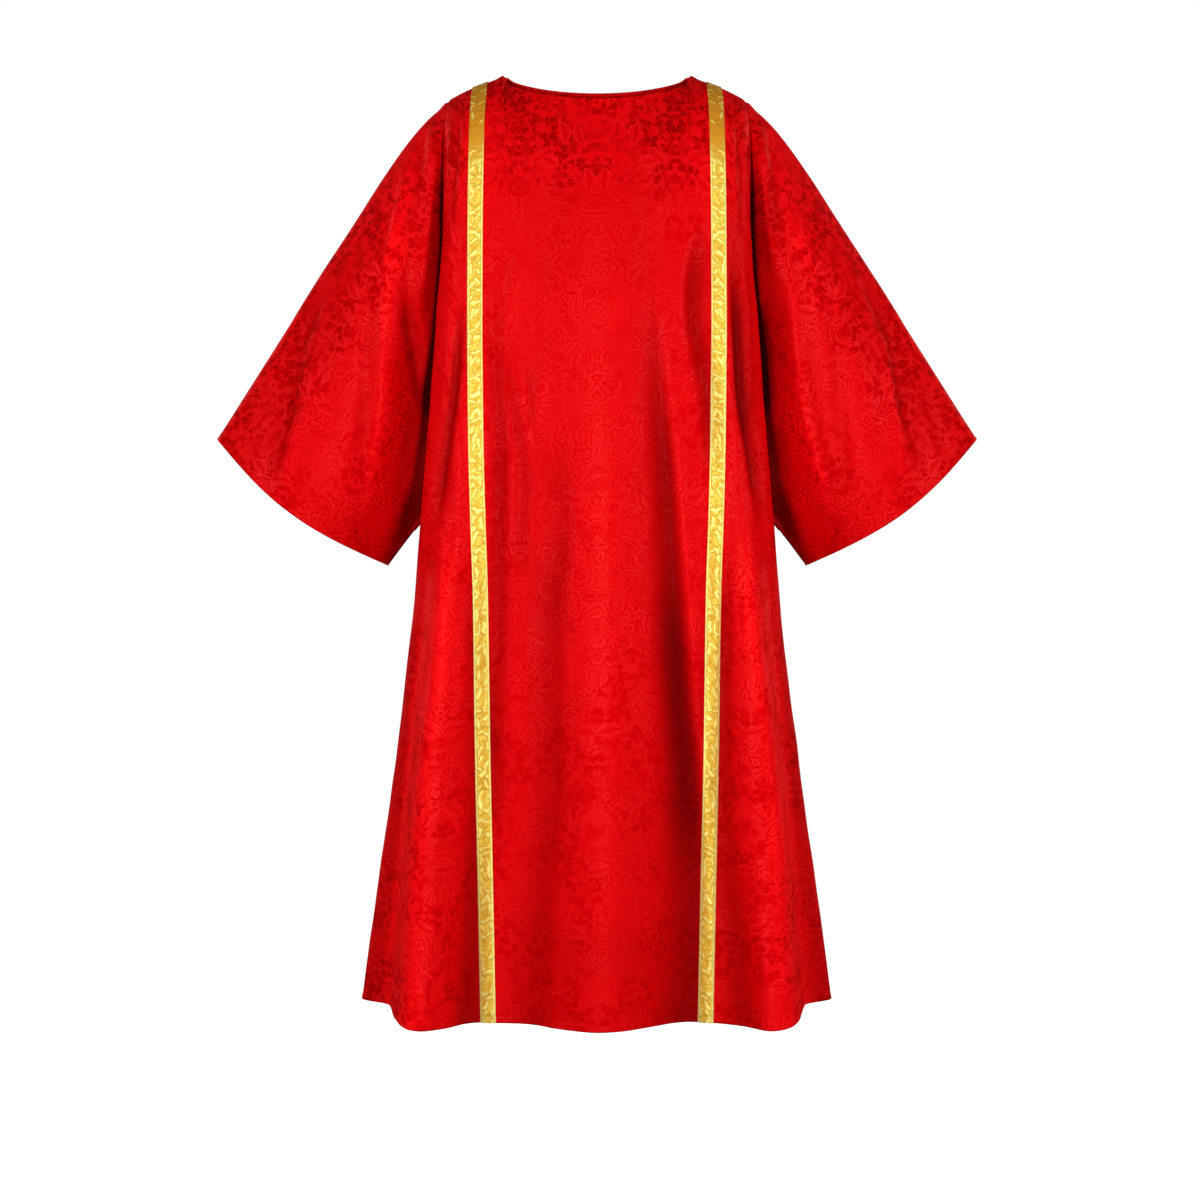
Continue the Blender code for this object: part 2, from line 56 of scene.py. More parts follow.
# %% Camera
CAMERA_PLACE = (0.004, -4.0, -0.702)
FILM = 36.0
LENS = 89.4

bpy.ops.object.camera_add(location=CAMERA_PLACE, rotation=(math.pi / 2, 0.0, 0.0))
camera = bpy.context.object
camera.data.sensor_width = FILM
camera.data.lens = LENS
bpy.context.scene.camera = camera
print("camera sees", round(-CAMERA_PLACE[1] * FILM / LENS, 3), "m across")

# %% [markdown]
# ## Curves through tables
# A pattern cutter works from a few measured places and draws smooth lines between them. `smooth` does
# that here: its curve goes through every value of a table and never swings past one. Cloth that hangs
# makes just such curves. The values may differ from point to point, so one call bends a whole grid.

# %% Curve helpers
def ease(value):
    """0 to 1 with a soft start and a soft end."""
    value = np.clip(value, 0.0, 1.0)
    return value * value * (3.0 - 2.0 * value)


def unit(vector):
    """The same direction with length 1."""
    vector = np.asarray(vector, dtype=float)
    return vector / np.linalg.norm(vector, axis=-1, keepdims=True)


def smooth(knots, values, at):
    """Smooth curve through the knots. The last axis of values runs along the knots."""
    knots = np.asarray(knots, dtype=float)
    at = np.clip(np.asarray(at, dtype=float), knots[0], knots[-1])
    values = np.asarray(values, dtype=float)
    if values.ndim == 1:
        values = np.broadcast_to(values, at.shape + values.shape)
    step = np.diff(knots)
    slope = np.diff(values, axis=-1) / step
    before, after = slope[..., :-1], slope[..., 1:]
    same_way = before * after > 0.0
    tangent = np.zeros_like(values)
    tangent[..., 0], tangent[..., -1] = slope[..., 0], slope[..., -1]
    tangent[..., 1:-1] = np.where(
        same_way, 2.0 * before * after / np.where(same_way, before + after, 1.0), 0.0)
    cell = np.clip(np.searchsorted(knots, at, side="right") - 1, 0, len(step) - 1)
    width = step[cell]
    t = (at - knots[cell]) / width

    def pick(array, place):
        return np.take_along_axis(array, place[..., None], -1)[..., 0]

    rise = pick(values, cell) * (1 + 2 * t) * (1 - t) ** 2 + pick(values, cell + 1) * t * t * (3 - 2 * t)
    bend = pick(tangent, cell) * t * (1 - t) ** 2 - pick(tangent, cell + 1) * t * t * (1 - t)
    return rise + width * bend


def table(columns, rows, scale=1.0):
    """The columns of a table by their names."""
    return {name: column * scale for name, column in zip(columns, np.array(rows, dtype=float).T)}


print("a curve through 0, 1 and 1 starts with", round(float(smooth((0, 1, 2), (0, 1, 1), 0.5)), 3))

# %% [markdown]
# ## The cut of the body
# A maker starts from a paper pattern. The next three cells hold the sizes of the solid model, which the
# cloth has to follow. First come the neckline and the ridge of the shoulder, on which it all hangs.

# %% Neckline and ridge
NECK_HALF_WIDTH = 0.122
NECK_REACH = {"front": 0.105, "back": 0.082}
NECK_DROP = {"front": 0.0495, "back": 0.012}
BINDING_WIDTH = 0.006
BAND_WIDTH = 0.020
SHOULDER_ROUND = 0.080   # drop over which the cloth turns round the shoulder
EVENING_DROP = 0.30      # drop over which its columns spread out below the neck
CAD_SEAM_GAP = 0.0003

RIDGE = table(("across", "drop"), (
    (122, 0), (135.6, 5), (153, 12), (169, 18), (189, 28.2), (199, 34.6), (216, 46.5),
), MM)
print("neck is", round(2.0 * NECK_HALF_WIDTH / MM), "mm wide, the ridge has", len(RIDGE["drop"]), "places")

# %% [markdown]
# A half section of the body is given at eleven heights, for the front and for the back. It runs from
# the centre over the band and a crest, turns back at the edge of a pleat, tucks behind it, and comes
# out again to the silhouette. Few heights are enough, as the smooth curves fill in the rest.

# %% Sections of the body
SECTION_COLUMNS = (
    "drop", "centre_reach", "band_across", "band_reach", "crest_across", "crest_reach",
    "turn_across", "turn_reach", "tuck_across", "tuck_reach", "edge_across", "edge_reach",
)
SECTIONS = {
    "front": (
        (0, 113, 155, 78, 170, 73, 178.5, 67, 186.5, 61, 193.5, 55),
        (100, 130, 157.8, 98, 174, 95, 183, 91, 192, 85, 200, 72),
        (210, 150, 158.8, 116, 174.5, 114, 184, 110, 193.5, 104, 201.8, 88),
        (340, 160, 158.8, 127, 175, 126, 186.5, 122, 198.5, 113, 211.8, 90),
        (440, 165, 157.8, 132, 177, 132, 190.5, 126, 204, 115, 219, 88),
        (500, 168, 157, 135, 178, 135, 194, 129, 208, 117, 223.8, 88),
        (593, 173, 154.5, 138, 180, 140, 201, 133, 216, 119, 231.4, 88),
        (702, 178, 151, 142, 185, 147, 212, 136, 223.5, 118, 239.8, 86),
        (900, 190, 148, 147, 199, 164, 231, 142, 243, 120, 263.4, 84),
        (1080, 200, 144, 150, 211, 181, 246, 152, 260, 122, 288.8, 80),
        (1250, 210, 140.5, 151, 221, 198, 258, 160, 274, 122, 312.7, 76),
    ),
    "back": (
        (0, 86, 155, 66, 169, 62, 178, 58, 186, 54, 193, 50),
        (100, 112, 157.8, 90, 171.5, 84, 181.5, 77, 190.5, 69, 199, 60),
        (210, 130, 158.8, 106, 172.5, 100, 182.5, 91, 192.5, 80, 201.7, 64),
        (340, 136, 158, 112, 173, 108, 184, 98, 195, 84, 212.4, 56),
        (440, 138, 157, 112, 176, 112, 190, 100, 200, 84, 219.7, 50),
        (500, 140, 156, 112, 178, 116, 196, 102, 204, 84, 224.4, 46),
        (593, 146, 154, 115, 180, 124, 205, 106, 209, 84, 231.7, 44),
        (702, 154, 152, 119, 185, 136, 216, 112, 217, 86, 239.7, 48),
        (900, 170, 150, 126, 195, 158, 233, 126, 230, 94, 260, 58),
        (1080, 184, 148, 131, 206, 176, 251, 137, 245, 101, 282, 68),
        (1250, 196, 146, 135, 216, 190, 263, 146, 256, 106, 301, 78),
    ),
}
SECTIONS = {side: table(SECTION_COLUMNS, rows, MM) for side, rows in SECTIONS.items()}
print("sections:", {side: len(rows["drop"]) for side, rows in SECTIONS.items()})

# %% [markdown]
# The armhole seam goes on below the underarm as the side seam. Columns of the cloth are counted from
# the centre. The keys of a section sit at the key columns, and at the key distances along the cloth.

# %% Hem, seams and columns
# How far down the hem lies at each key column.
HEM_DROP = {
    "front": (1.2527, 1.2490, 1.2490, 1.2527, 1.2440, 1.2285, 1.2265, 1.2360),
    "back": (1.2480, 1.2440, 1.2440, 1.2470, 1.2450, 1.2400, 1.2360, 1.2360),
}
# In metres, and degrees for the facing and the dip.
SEAM = table(("drop", "across", "opening", "set_back", "facing", "dip"), (
    (0.033, 0.1990, 0.054, 0.000, 20.0, 0.0),
    (0.110, 0.2045, 0.054, 0.000, 35.0, 0.0),
    (0.210, 0.2025, 0.056, 0.000, 62.0, 0.0),
    (0.340, 0.2125, 0.046, 0.000, 84.0, 0.0),
    (0.440, 0.2195, 0.036, 0.000, 88.0, 0.0),
    (0.530, 0.2255, 0.022, 0.000, 90.0, 10.0),
    (0.593, 0.2300, 0.000, 0.000, 90.0, 45.0),
    (0.702, 0.2400, 0.000, 0.008, 90.0, 0.0),
    (0.900, 0.2640, 0.000, 0.022, 90.0, 0.0),
    (1.080, 0.2890, 0.000, 0.030, 90.0, 0.0),
    (1.250, 0.3135, 0.000, 0.036, 90.0, 0.0),
))
SEAM_TOP_DROP = SEAM["drop"][0]
UNDERARM_DROP = SEAM["drop"][6]
KEY_COLUMNS = (0.0, 8.0, 10.0, 12.0, 15.0, 18.0, 21.0, 23.0)
KEY_DISTANCES = (0.0, 0.149, 0.169, 0.190, 0.222, 0.256, 0.296, 0.318)
NECK_COLUMN = 6.0
BAND_COLUMNS = KEY_COLUMNS[1:3]
LAST_COLUMN = KEY_COLUMNS[-1]
print("underarm is", round(UNDERARM_DROP / MM), "mm down, and the seam has", len(SEAM["drop"]), "places")

# %% [markdown]
# ## The bare cloth of the body
# A place on the cloth is first found within the section at its height. The keys at the two edges of a
# band reach equally far, so that the band lies flat across.

# %% Section points
def seam_value(name, drop):
    """One column of the seam's table at any drop."""
    return smooth(SEAM["drop"], SEAM[name], drop)


def forwards(side):
    """The sign of Y on that side of the garment."""
    return -1.0 if side == "front" else 1.0


def section_point(side, distance, drop):
    """Across and reach at a distance along the cloth and a drop."""
    rows = SECTIONS[side]

    def at(name):
        return smooth(rows["drop"], rows[name], drop)

    band, band_reach = at("band_across"), at("band_reach")
    across = [0.0 * band, band - BAND_WIDTH / 2, band + BAND_WIDTH / 2]
    reach = [at("centre_reach"), band_reach, band_reach]
    for key in ("crest", "turn", "tuck", "edge"):
        across.append(at(key + "_across"))
        reach.append(at(key + "_reach"))
    across.append(seam_value("across", drop))
    reach.append(seam_value("opening", drop) + forwards(side) * seam_value("set_back", drop))
    both = [-d for d in KEY_DISTANCES[:0:-1]] + list(KEY_DISTANCES)
    across = np.stack([-a for a in across[:0:-1]] + across, axis=-1)
    reach = np.stack(reach[:0:-1] + reach, axis=-1)
    return smooth(both, across, distance), smooth(both, reach, distance)


waist = section_point("front", np.zeros(1), np.array([0.702]))[1][0]
print("front reaches", round(float(waist), 3), "m at the waist")

# %% [markdown]
# `bare_panel` gives the place of the cloth for any column and any share of the way from the top edge to
# the hem. Because it takes arrays, the same function makes a coarse grid, a fine grid, or only the
# strip that lies under a band. Near the top the cloth turns from the ridge or the neckline in a round
# shoulder, and the columns spread from even ones at the neck to those of the sections.

# %% Bare cloth
def bare_panel(side, column, share):
    """Points of the uncreased cloth, for arrays of columns and shares of the way down."""
    flip, column = np.where(column < 0.0, -1.0, 1.0), np.abs(column)
    low = np.interp(column, KEY_COLUMNS, KEY_DISTANCES)
    neck_edge = NECK_HALF_WIDTH + BINDING_WIDTH + CAD_SEAM_GAP
    on_neck = column <= NECK_COLUMN
    round_neck = np.minimum(column / NECK_COLUMN, 1.0) * math.pi / 2
    beyond = (column - NECK_COLUMN) / (KEY_COLUMNS[1] - NECK_COLUMN)
    top = np.where(on_neck, neck_edge * np.sin(round_neck),
                   neck_edge + (KEY_DISTANCES[1] - neck_edge) * beyond)
    top = np.where(column > KEY_COLUMNS[1], low, top)
    ridge = smooth(*RIDGE.values(), section_point(side, top, 0.0 * top)[0])
    step = smooth(*RIDGE.values(), np.array([neck_edge]))[0]
    ridge = ridge - step * np.clip(NECK_COLUMN + 1.0 - column, 0.0, 1.0)
    facing = np.cos(round_neck)
    grown = 1.0 + (BINDING_WIDTH + CAD_SEAM_GAP) / NECK_REACH[side]
    top_drop = np.where(on_neck, NECK_DROP[side] * grown * facing, ridge)
    top_reach = np.where(on_neck, NECK_REACH[side] * grown * facing, 0.0)
    sharpness = np.where(on_neck, 0.5 + 0.5 * facing, 0.5)
    drop = top_drop + share * (smooth(KEY_DISTANCES, HEM_DROP[side], low) - top_drop)
    below = drop - top_drop
    distance = top + ease(below / EVENING_DROP) * (low - top)
    across, reach = section_point(side, distance, drop)
    turned = np.clip(below / SHOULDER_ROUND, 0.0, 1.0) ** sharpness
    reach = top_reach + (reach - top_reach) * np.sin(math.pi / 2 * turned)
    return np.stack([flip * across, forwards(side) * reach, -drop], axis=-1)


def panel_normals(side, column, share):
    """Outward normals of the bare cloth, from its slopes either way."""
    aside, down = 0.05, 0.0015       # small steps, in columns and in shares
    right = bare_panel(side, np.minimum(column + aside, LAST_COLUMN), share)
    left = bare_panel(side, np.maximum(column - aside, -LAST_COLUMN), share)
    lower = bare_panel(side, column, np.minimum(share + down, 1.0))
    upper = bare_panel(side, column, np.maximum(share - down, 0.0))
    return -forwards(side) * unit(np.cross(lower - upper, right - left))


middle = bare_panel("front", np.array([0.0]), np.array([0.5]))[0]
print("bare front, half way down the centre:", np.round(middle, 3))

# %% [markdown]
# ## Creases
# Cloth that hangs from two shoulders is never flat. Long soft troughs start where the chest ends and
# run down to the hem, short ones pull from the armholes, and between them the cloth stands out as
# ridges. Each crease here is a given line, as wide and as deep as that one crease, with one
# flank steeper than the other. A simulation would give other creases than these, so it isn't used.
#
# A row of the table has the crease's height, its half width at the upper and at the lower end, its
# lean, how much painted shade it lays on the cloth, and then the line as pairs of across and drop.
# Below 0 that is a painted highlight, which makes a crest paler. A row of height 0 only paints the
# cloth: it stands for a swelling that is too broad and shallow to be seen by its shape, or for the
# sharp edge of a pleat.

# %% Creases of the body
CREASES = {
    "front": (
        (-8.5, 8, 8, 0.2, 0.62, (-180, 301), (-183, 353), (-189, 431), (-203, 534), (-212, 625)),
        (-9.5, 9, 19, 0, 0.64, (-158, 573), (-156, 741), (-152, 844), (-151, 947), (-154, 1051),
         (-157, 1154), (-160, 1252)),
        (-7.5, 10, 12, 0, 0.42, (-140, 235), (-134, 379), (-127, 495), (-127, 573), (-129, 650),
         (-129, 741), (-132, 831), (-132, 947), (-130, 1090)),
        (-5, 8, 9, 0.2, 0.22, (-125, 379), (-114, 431), (-104, 495), (-99, 547), (-104, 637), (-108, 689)),
        (-2.5, 5, 6, 0, 0.12, (-95, 379), (-90, 431), (-86, 469), (-82, 508)),
        (-8, 16, 26, -0.2, 0.32, (-37, 444), (-47, 534), (-48, 624), (-59, 702), (-61, 805), (-61, 947),
         (-69, 1051), (-79, 1154), (-85, 1252)),
        (-15, 10, 26, -0.45, 0.7, (69, 250), (77, 327), (85, 431), (95, 534), (101, 637), (105, 741),
         (113, 844), (123, 947), (127, 1051), (126, 1154), (123, 1252)),
        (-11, 12, 13, 0.3, 0.55, (141, 179), (136, 224), (126, 289), (125, 327), (132, 379), (141, 431),
         (147, 508), (149, 573)),
        (-5, 6, 8, 0, 0.3, (145, 573), (145, 663), (145, 741), (141, 844), (139, 935)),
        (-10, 8, 8, 0.2, 0.7, (176, 237), (182, 327), (188, 431), (205, 534), (216, 620)),
        (-9.5, 5, 22, 0, 0.46, (172, 573), (167, 663), (165, 741), (161, 844), (161, 947), (166, 1051),
         (175, 1154), (182, 1252)),
        (7, 10, 15, 0, -0.29, (-193, 534), (-196, 637), (-201, 741), (-211, 844), (-222, 947), (-231, 1051),
         (-236, 1154), (-240, 1252)),
        (7, 10, 15, 0, -0.32, (188, 534), (196, 637), (201, 741), (214, 844), (225, 947), (233, 1051),
         (240, 1154), (246, 1252)),
        (0, 110, 110, 0, 0.12, (4, 1100), (4, 1170), (4, 1252)),
        (0, 90, 90, 0, 0.1, (0, 130), (0, 210), (0, 310)),
        (0, 6, 6, 0, -0.26, (-216, 637), (-228, 741), (-243, 900), (-256, 1051), (-267, 1154),
         (-273, 1252)),
        (0, 6, 6, 0, -0.26, (216, 637), (228, 741), (243, 900), (256, 1051), (267, 1154), (273, 1252)),
        (0, 11, 16, 0, 0.28, (-228, 600), (-240, 741), (-257, 900), (-273, 1051), (-287, 1154),
         (-295, 1252)),
        (0, 11, 16, 0, 0.28, (228, 600), (240, 741), (257, 900), (273, 1051), (287, 1154), (295, 1252)),
        (0, 16, 16, 0, 0.24, (172, 130), (178, 230), (185, 330), (191, 440), (203, 560)),
        (0, 18, 26, 0, 0.28, (98, 640), (108, 850), (112, 960), (110, 1080)),
        (0, 10, 10, 0, -0.16, (-184, 180), (-190, 314), (-194, 430)),
        (5, 34, 39, 0, -0.04, (2, 314), (10, 469), (10, 650), (16, 831), (24, 1090), (28, 1252)),
        (4.5, 7, 8, 0, -0.16, (90, 418), (103, 534), (112, 637), (123, 741), (127, 831)),
        (3.5, 6, 6, 0, 0, (191, 250), (196, 327), (198, 431), (193, 495)),
        (4, 9, 9, 0, 0, (-185, 444), (-180, 534), (-179, 624), (-184, 728)),
        (3, 9, 10, 0, 0, (-101, 250), (-113, 314), (-118, 366)),
        (3, 8, 9, 0, 0, (-68, 366), (-74, 444), (-112, 534), (-112, 650)),
        (3, 6, 7, 0, 0, (-171, 40), (-176, 120), (-186, 220)),
        (-3, 5, 6, 0, 0.18, (-179, 50), (-186, 130), (-192, 230)),
        (2.5, 6, 7, 0, 0, (173, 50), (178, 130), (185, 215)),
        (-3, 5, 6, 0, 0.18, (183, 60), (188, 130), (192, 240)),
    ),
    "back": (
        (-14, 14, 20, 0.2, 0.55, (-56, 260), (-62, 480), (-74, 800), (-81, 1250)),
        (-15, 14, 22, -0.2, 0.65, (49, 330), (56, 560), (62, 860), (67, 1250)),
        (6, 28, 34, 0, 0, (-4, 420), (-7, 800), (-6, 1250)),
        (-8.5, 9, 12, 0.2, 0.45, (-108, 220), (-118, 360), (-132, 560), (-140, 760)),
        (-10, 9, 14, -0.3, 0.55, (101, 190), (112, 330), (127, 540), (134, 820)),
        (5, 10, 14, 0, 0, (-90, 260), (-101, 500), (-110, 900), (-117, 1250)),
        (5, 10, 15, 0, 0, (84, 360), (94, 620), (100, 980), (104, 1250)),
        (-4, 8, 11, 0, 0.2, (-18, 200), (-25, 320), (-31, 500)),
        (3.5, 8, 10, 0, 0, (22, 170), (28, 300), (34, 460)),
        (-10, 9, 17, 0.2, 0.6, (-166, 580), (-169, 880), (-177, 1250)),
        (-10, 9, 18, -0.2, 0.6, (168, 620), (173, 920), (184, 1250)),
        (-8, 7, 8, 0, 0.55, (-173, 240), (-181, 400), (-199, 580)),
        (-8, 7, 8, 0, 0.55, (172, 220), (180, 380), (197, 560)),
        (-5, 10, 14, 0, 0.3, (18, 660), (26, 960), (22, 1250)),
        (3.5, 5, 7, 0, 0, (-167, 50), (-173, 130), (-184, 240)),
        (-4, 5, 7, 0, 0.2, (176, 50), (183, 140), (190, 250)),
    ),
}
print("creases:", {side: len(rows) for side, rows in CREASES.items()})

# %% [markdown]
# Across its line a crease has the soft shape of a bell. It grows over about the first third of its
# length, and fades out over the last quarter, unless it runs on through the hem. The armhole seams lie
# in valleys of their own, on the body and on each sleeve, and these only get painted shade, which is
# darkest along the seam.

# %% Relief and seam valleys
HEM_REACHED = 1240.0     # a crease whose line comes this low runs on through the hem
CREASE_START = 0.30      # share of a crease over which it grows
CREASE_END = 0.25        # and over which it fades out
MOST_PAINTED_HIGHLIGHT, MOST_PAINTED_SHADE = -0.5, 1.25    # the most painted highlight on a crest, and the most painted shade at the bottom of a seam's valley
# Down the armhole seam: drop, how dark the painted shade of its valley is, how far that is level, and half
# its flank.
SEAM_PAINTED_SHADE = {
    "panel": ((60, 0, 0, 6), (150, 0.9, 2, 8), (240, 1.25, 5, 11), (330, 1.15, 3, 10), (420, 0.95, 2, 8),
     (540, 0.6, 0, 5), (620, 0.2, 0, 5), (750, 0, 0, 5)),
    "left": ((60, 0, 0, 6), (120, 0.7, 2, 8), (200, 1.4, 9, 10), (240, 1.4, 9, 10), (330, 1.3, 12, 9),
     (380, 1.25, 18, 10), (430, 1.2, 22, 12), (480, 0.92, 28, 16), (540, 0.76, 34, 18), (600, 0.78, 56, 36),
     (660, 0.78, 82, 50)),
    "right": ((60, 0, 0, 6), (120, 0.7, 2, 8), (200, 1.4, 8, 10), (240, 1.4, 8, 10), (330, 1.25, 11, 10),
     (380, 1.25, 20, 11), (430, 1.2, 26, 13), (480, 0.95, 30, 15), (540, 0.82, 36, 18), (600, 0.78, 56, 36),
     (660, 0.78, 82, 50)),
}


def relief(creases, across, drop):
    """How far the creases move the cloth out, and their painted shade, which below 0 is a painted highlight.
    """
    across, drop = across / MM, drop / MM
    total, painted_shade = np.zeros_like(across), np.zeros_like(across)
    # The depth of a row is how much painted shade it lays, and below 0 a painted highlight.
    for height, upper_width, lower_width, lean, depth, *line in creases:
        places, drops = np.array(line, dtype=float).T
        done = np.clip((drop - drops[0]) / (drops[-1] - drops[0]), 0.0, 1.0)
        beside = across - smooth(drops, places, drop)
        spread = (upper_width + (lower_width - upper_width) * done) * (1.0 + lean * np.sign(beside))
        fade = ease(done / CREASE_START)
        if drops[-1] < HEM_REACHED:
            fade = fade * ease((1.0 - done) / CREASE_END)
        bell = fade * np.exp(-(beside / spread) ** 2)
        total = total + height * bell
        painted_shade = painted_shade + depth * bell
    return total * MM, painted_shade


def seam_painted_shade(name, to_seam, drop):
    """The painted shade in the valley in which an armhole seam lies."""
    down, depth, level, width = np.array(SEAM_PAINTED_SHADE[name]).T
    drop = drop / MM
    flank = np.maximum(to_seam / MM - smooth(down, level, drop), 0.0) / smooth(down, width, drop)
    return smooth(down, depth, drop) * np.exp(-flank ** 2)


print("deepest crease, mm:", min(row[0] for rows in CREASES.values() for row in rows))

# %% [markdown]
# ## Small unevenness
# Between its creases, worn cloth has a slight ripple that no one would draw. It is a sum of a few
# waves with fixed random lengths and directions, mostly long from top to bottom, as threads hang.

# %% Ripple
WAVES = 16
WAVE_LENGTHS = (0.030, 0.085)
WAVE_TILT = 0.20         # how much a wave's direction strays from the threads
WAVE_BENDS = (5.0, 14.0)
BEND_DEPTH = 1.3
WAVES_SUM = 0.24         # about the height at which the waves add up
RIPPLE_SEEDS = {"front": 3, "back": 8, "left": 21, "right": 34}


def ripple(seed, across, drop, height):
    """A small uneven swell, a few waves added up. The seed fixes which waves."""
    random = np.random.default_rng(seed)
    total = np.zeros_like(across)
    for _ in range(WAVES):
        length = random.uniform(*WAVE_LENGTHS)
        tilt = random.normal(0.0, WAVE_TILT)
        phase = random.uniform(0.0, 2.0 * math.pi)
        total += length * np.sin(2.0 * math.pi * (across + tilt * drop) / length + phase
                                 + BEND_DEPTH * np.sin(drop * random.uniform(*WAVE_BENDS) + phase))
    return height * total / WAVES_SUM


swell = float(ripple(5, np.array(0.0), np.array(0.3), 0.0006))
print("ripple at the centre of the chest, mm:", round(swell / MM, 2))

# %% [markdown]
# ## Making a piece of cloth
# Cloth is measured along its surface, so lengths and areas are taken from the grid of points. They give
# each point its place on the flat cloth, and later tell how large a piece was cut.

# %% Lengths and areas
def lengths_along(points, axis):
    """Running length of a grid of points along one axis, from 0."""
    steps = np.linalg.norm(np.diff(points, axis=axis), axis=-1)
    start = np.zeros_like(np.take(steps, [0], axis=axis))
    return np.concatenate([start, np.cumsum(steps, axis=axis)], axis=axis)


def area_of(points):
    """Area of a grid of points."""
    down = points[1:, :-1] - points[:-1, :-1]
    aside = points[:-1, 1:] - points[:-1, :-1]
    return float(np.linalg.norm(np.cross(down, aside), axis=-1).sum())


square = np.array([[[0.0, 0.0, 0.0], [1.0, 0.0, 0.0]], [[0.0, 1.0, 0.0], [1.0, 1.0, 0.0]]])
print("a unit square measures", area_of(square))

# %% [markdown]
# Every piece of the garment becomes a mesh through one helper. Each corner can get its place on the
# flat cloth in metres, as a UV map. The weave and the damask figure are drawn in those places, so they
# follow the cloth round every crease.

# %% Mesh objects
def add_object(name, points, faces, flat_places=None, outward=True):
    """A smooth mesh object, with its places on the flat cloth as a UV map."""
    mesh = bpy.data.meshes.new(name)
    mesh.from_pydata(points.tolist(), [], faces)
    if flat_places is not None:
        layer = mesh.uv_layers.new(name="cloth")
        layer.data.foreach_set("uv", flat_places.astype(np.float32).ravel())
    if outward:
        shell = bmesh.new()
        shell.from_mesh(mesh)
        bmesh.ops.recalc_face_normals(shell, faces=shell.faces[:])
        shell.to_mesh(mesh)
        shell.free()
    mesh.shade_smooth()
    item = bpy.data.objects.new(name, mesh)
    bpy.context.scene.collection.objects.link(item)
    return item


# %% [markdown]
# A piece of cloth has an outer and an inner grid of points, joined round its edge, so that it is a
# closed thin wall. A tube has no side edges: its last column is joined to its first. The points also
# keep the painted shade of the creases and seam valleys at each, for the finish to read.

# %% Cloth walls
CLOTH = 0.0009           # damask with its lining
print("cloth is", round(CLOTH / MM, 2), "mm thick")


def add_piece(name, outer, inner, flat_places, painted_shade, closed=False):
    """A closed wall between two grids. The outside has finish 0 and the inside finish 1."""
    rows, columns = outer.shape[:2]
    count = rows * columns
    index = np.arange(count).reshape(rows, columns)
    place = np.arange(rows * flat_places.shape[1]).reshape(rows, -1)
    if closed:
        index = np.concatenate([index, index[:, :1]], axis=1)

    def squares(grid):
        return np.stack([grid[:-1, :-1], grid[1:, :-1], grid[1:, 1:], grid[:-1, 1:]], axis=-1).reshape(-1, 4)

    def rim(grid, other):
        return np.stack([grid[:-1], grid[1:], other[1:], other[:-1]], axis=-1)

    edges = [(index[0], place[0]), (index[-1], place[-1])]
    if not closed:
        edges += [(index[:, 0], place[:, 0]), (index[:, -1], place[:, -1])]
    faces = np.concatenate([squares(index), squares(index)[:, ::-1] + count]
                           + [rim(line, line + count) for line, _ in edges])
    corners = np.concatenate([squares(place), squares(place)[:, ::-1]]
                             + [rim(spot, spot) for _, spot in edges])
    points = np.concatenate([outer.reshape(-1, 3), inner.reshape(-1, 3)])
    item = add_object(name, points, faces.tolist(), flat_places.reshape(-1, 2)[corners.ravel()])
    half = len(squares(index))
    finish = np.zeros(len(faces), dtype=np.int32)
    finish[half:2 * half] = 1
    item.data.polygons.foreach_set("material_index", finish)
    # Each point keeps its painted shade, below 0 a painted highlight, for the finish to read.
    shade = item.data.attributes.new("painted_shade", "FLOAT", "POINT")
    shade.data.foreach_set("value", np.tile(painted_shade.ravel(), 2).astype(np.float32))
    print(name, "has", 2 * len(faces), "triangles and", round(area_of(outer), 3), "m2 of cloth")
    return item


# %% [markdown]
# ## Hems
# The lower edge and the cuffs are turned in twice and stitched. Seen close, a hem is a thick rounded
# edge, then a fine groove where the stitches pull, then a small step down to the single cloth. The
# table gives those heights for the last few millimetres, and the grids get extra rows there.

# %% Hem profile
HEM = table(("from_edge", "outside", "inside"), (
    (0.0, -0.6, 1.0), (0.5, 0.2, 2.0), (1.6, 0.6, 2.6), (3.4, 0.5, 2.6),
    (4.8, 0.0, 2.0), (6.0, 0.4, 2.4), (7.4, 0.2, 1.9), (9.2, 0.0, CLOTH / MM),
), MM)
HEM_ROWS = (0.0142, 0.0112, 0.0092, 0.0074, 0.0060, 0.0048, 0.0034, 0.0016, 0.0005, 0.0)
HEM_STITCHES = 0.0048


def hem_layers(from_edge):
    """How far the outside stands proud, and how deep the inside lies, at a distance from the edge."""
    return [smooth(HEM["from_edge"], HEM[name], from_edge)[..., None] for name in ("outside", "inside")]


print("hem is", max(HEM["inside"]) / MM, "mm thick at its edge")

# %% [markdown]
# ## Front and back
# The front and the back are now laid out: 231 columns and about 200 rows each. The rows crowd at the
# shoulder, where the cloth turns fastest, and at the hem.

# %% Rows and columns
ROWS_ABOVE = 92
ROWS_BELOW = 96
UPPER_CROWDING = 1.6
PANEL_FINENESS = 5       # columns of the fine grid for each column of the cut
PANEL_LENGTH = 1.22      # mean length from the top edge to the hem


def armhole_share():
    """Where on a panel's outer edge the armhole ends, 0 at the top and 1 at the hem."""
    return (UNDERARM_DROP - SEAM_TOP_DROP) / (HEM_DROP["front"][-1] - SEAM_TOP_DROP)


def row_shares():
    """Shares of the way down for all rows. They crowd at the shoulder and at the hem."""
    armhole = armhole_share()
    upper = armhole * (np.arange(ROWS_ABOVE + 1) / ROWS_ABOVE) ** UPPER_CROWDING
    hem = 1.0 - np.array(HEM_ROWS) / PANEL_LENGTH
    lower = np.linspace(armhole, hem[0], ROWS_BELOW, endpoint=False)[1:]
    return np.concatenate([upper, lower, hem])


def fine_columns():
    """The columns of the fine grid, from one side seam to the other."""
    count = int(LAST_COLUMN * PANEL_FINENESS)
    return np.arange(-count, count + 1) / PANEL_FINENESS


print("a panel has", len(row_shares()), "rows and", len(fine_columns()), "columns")

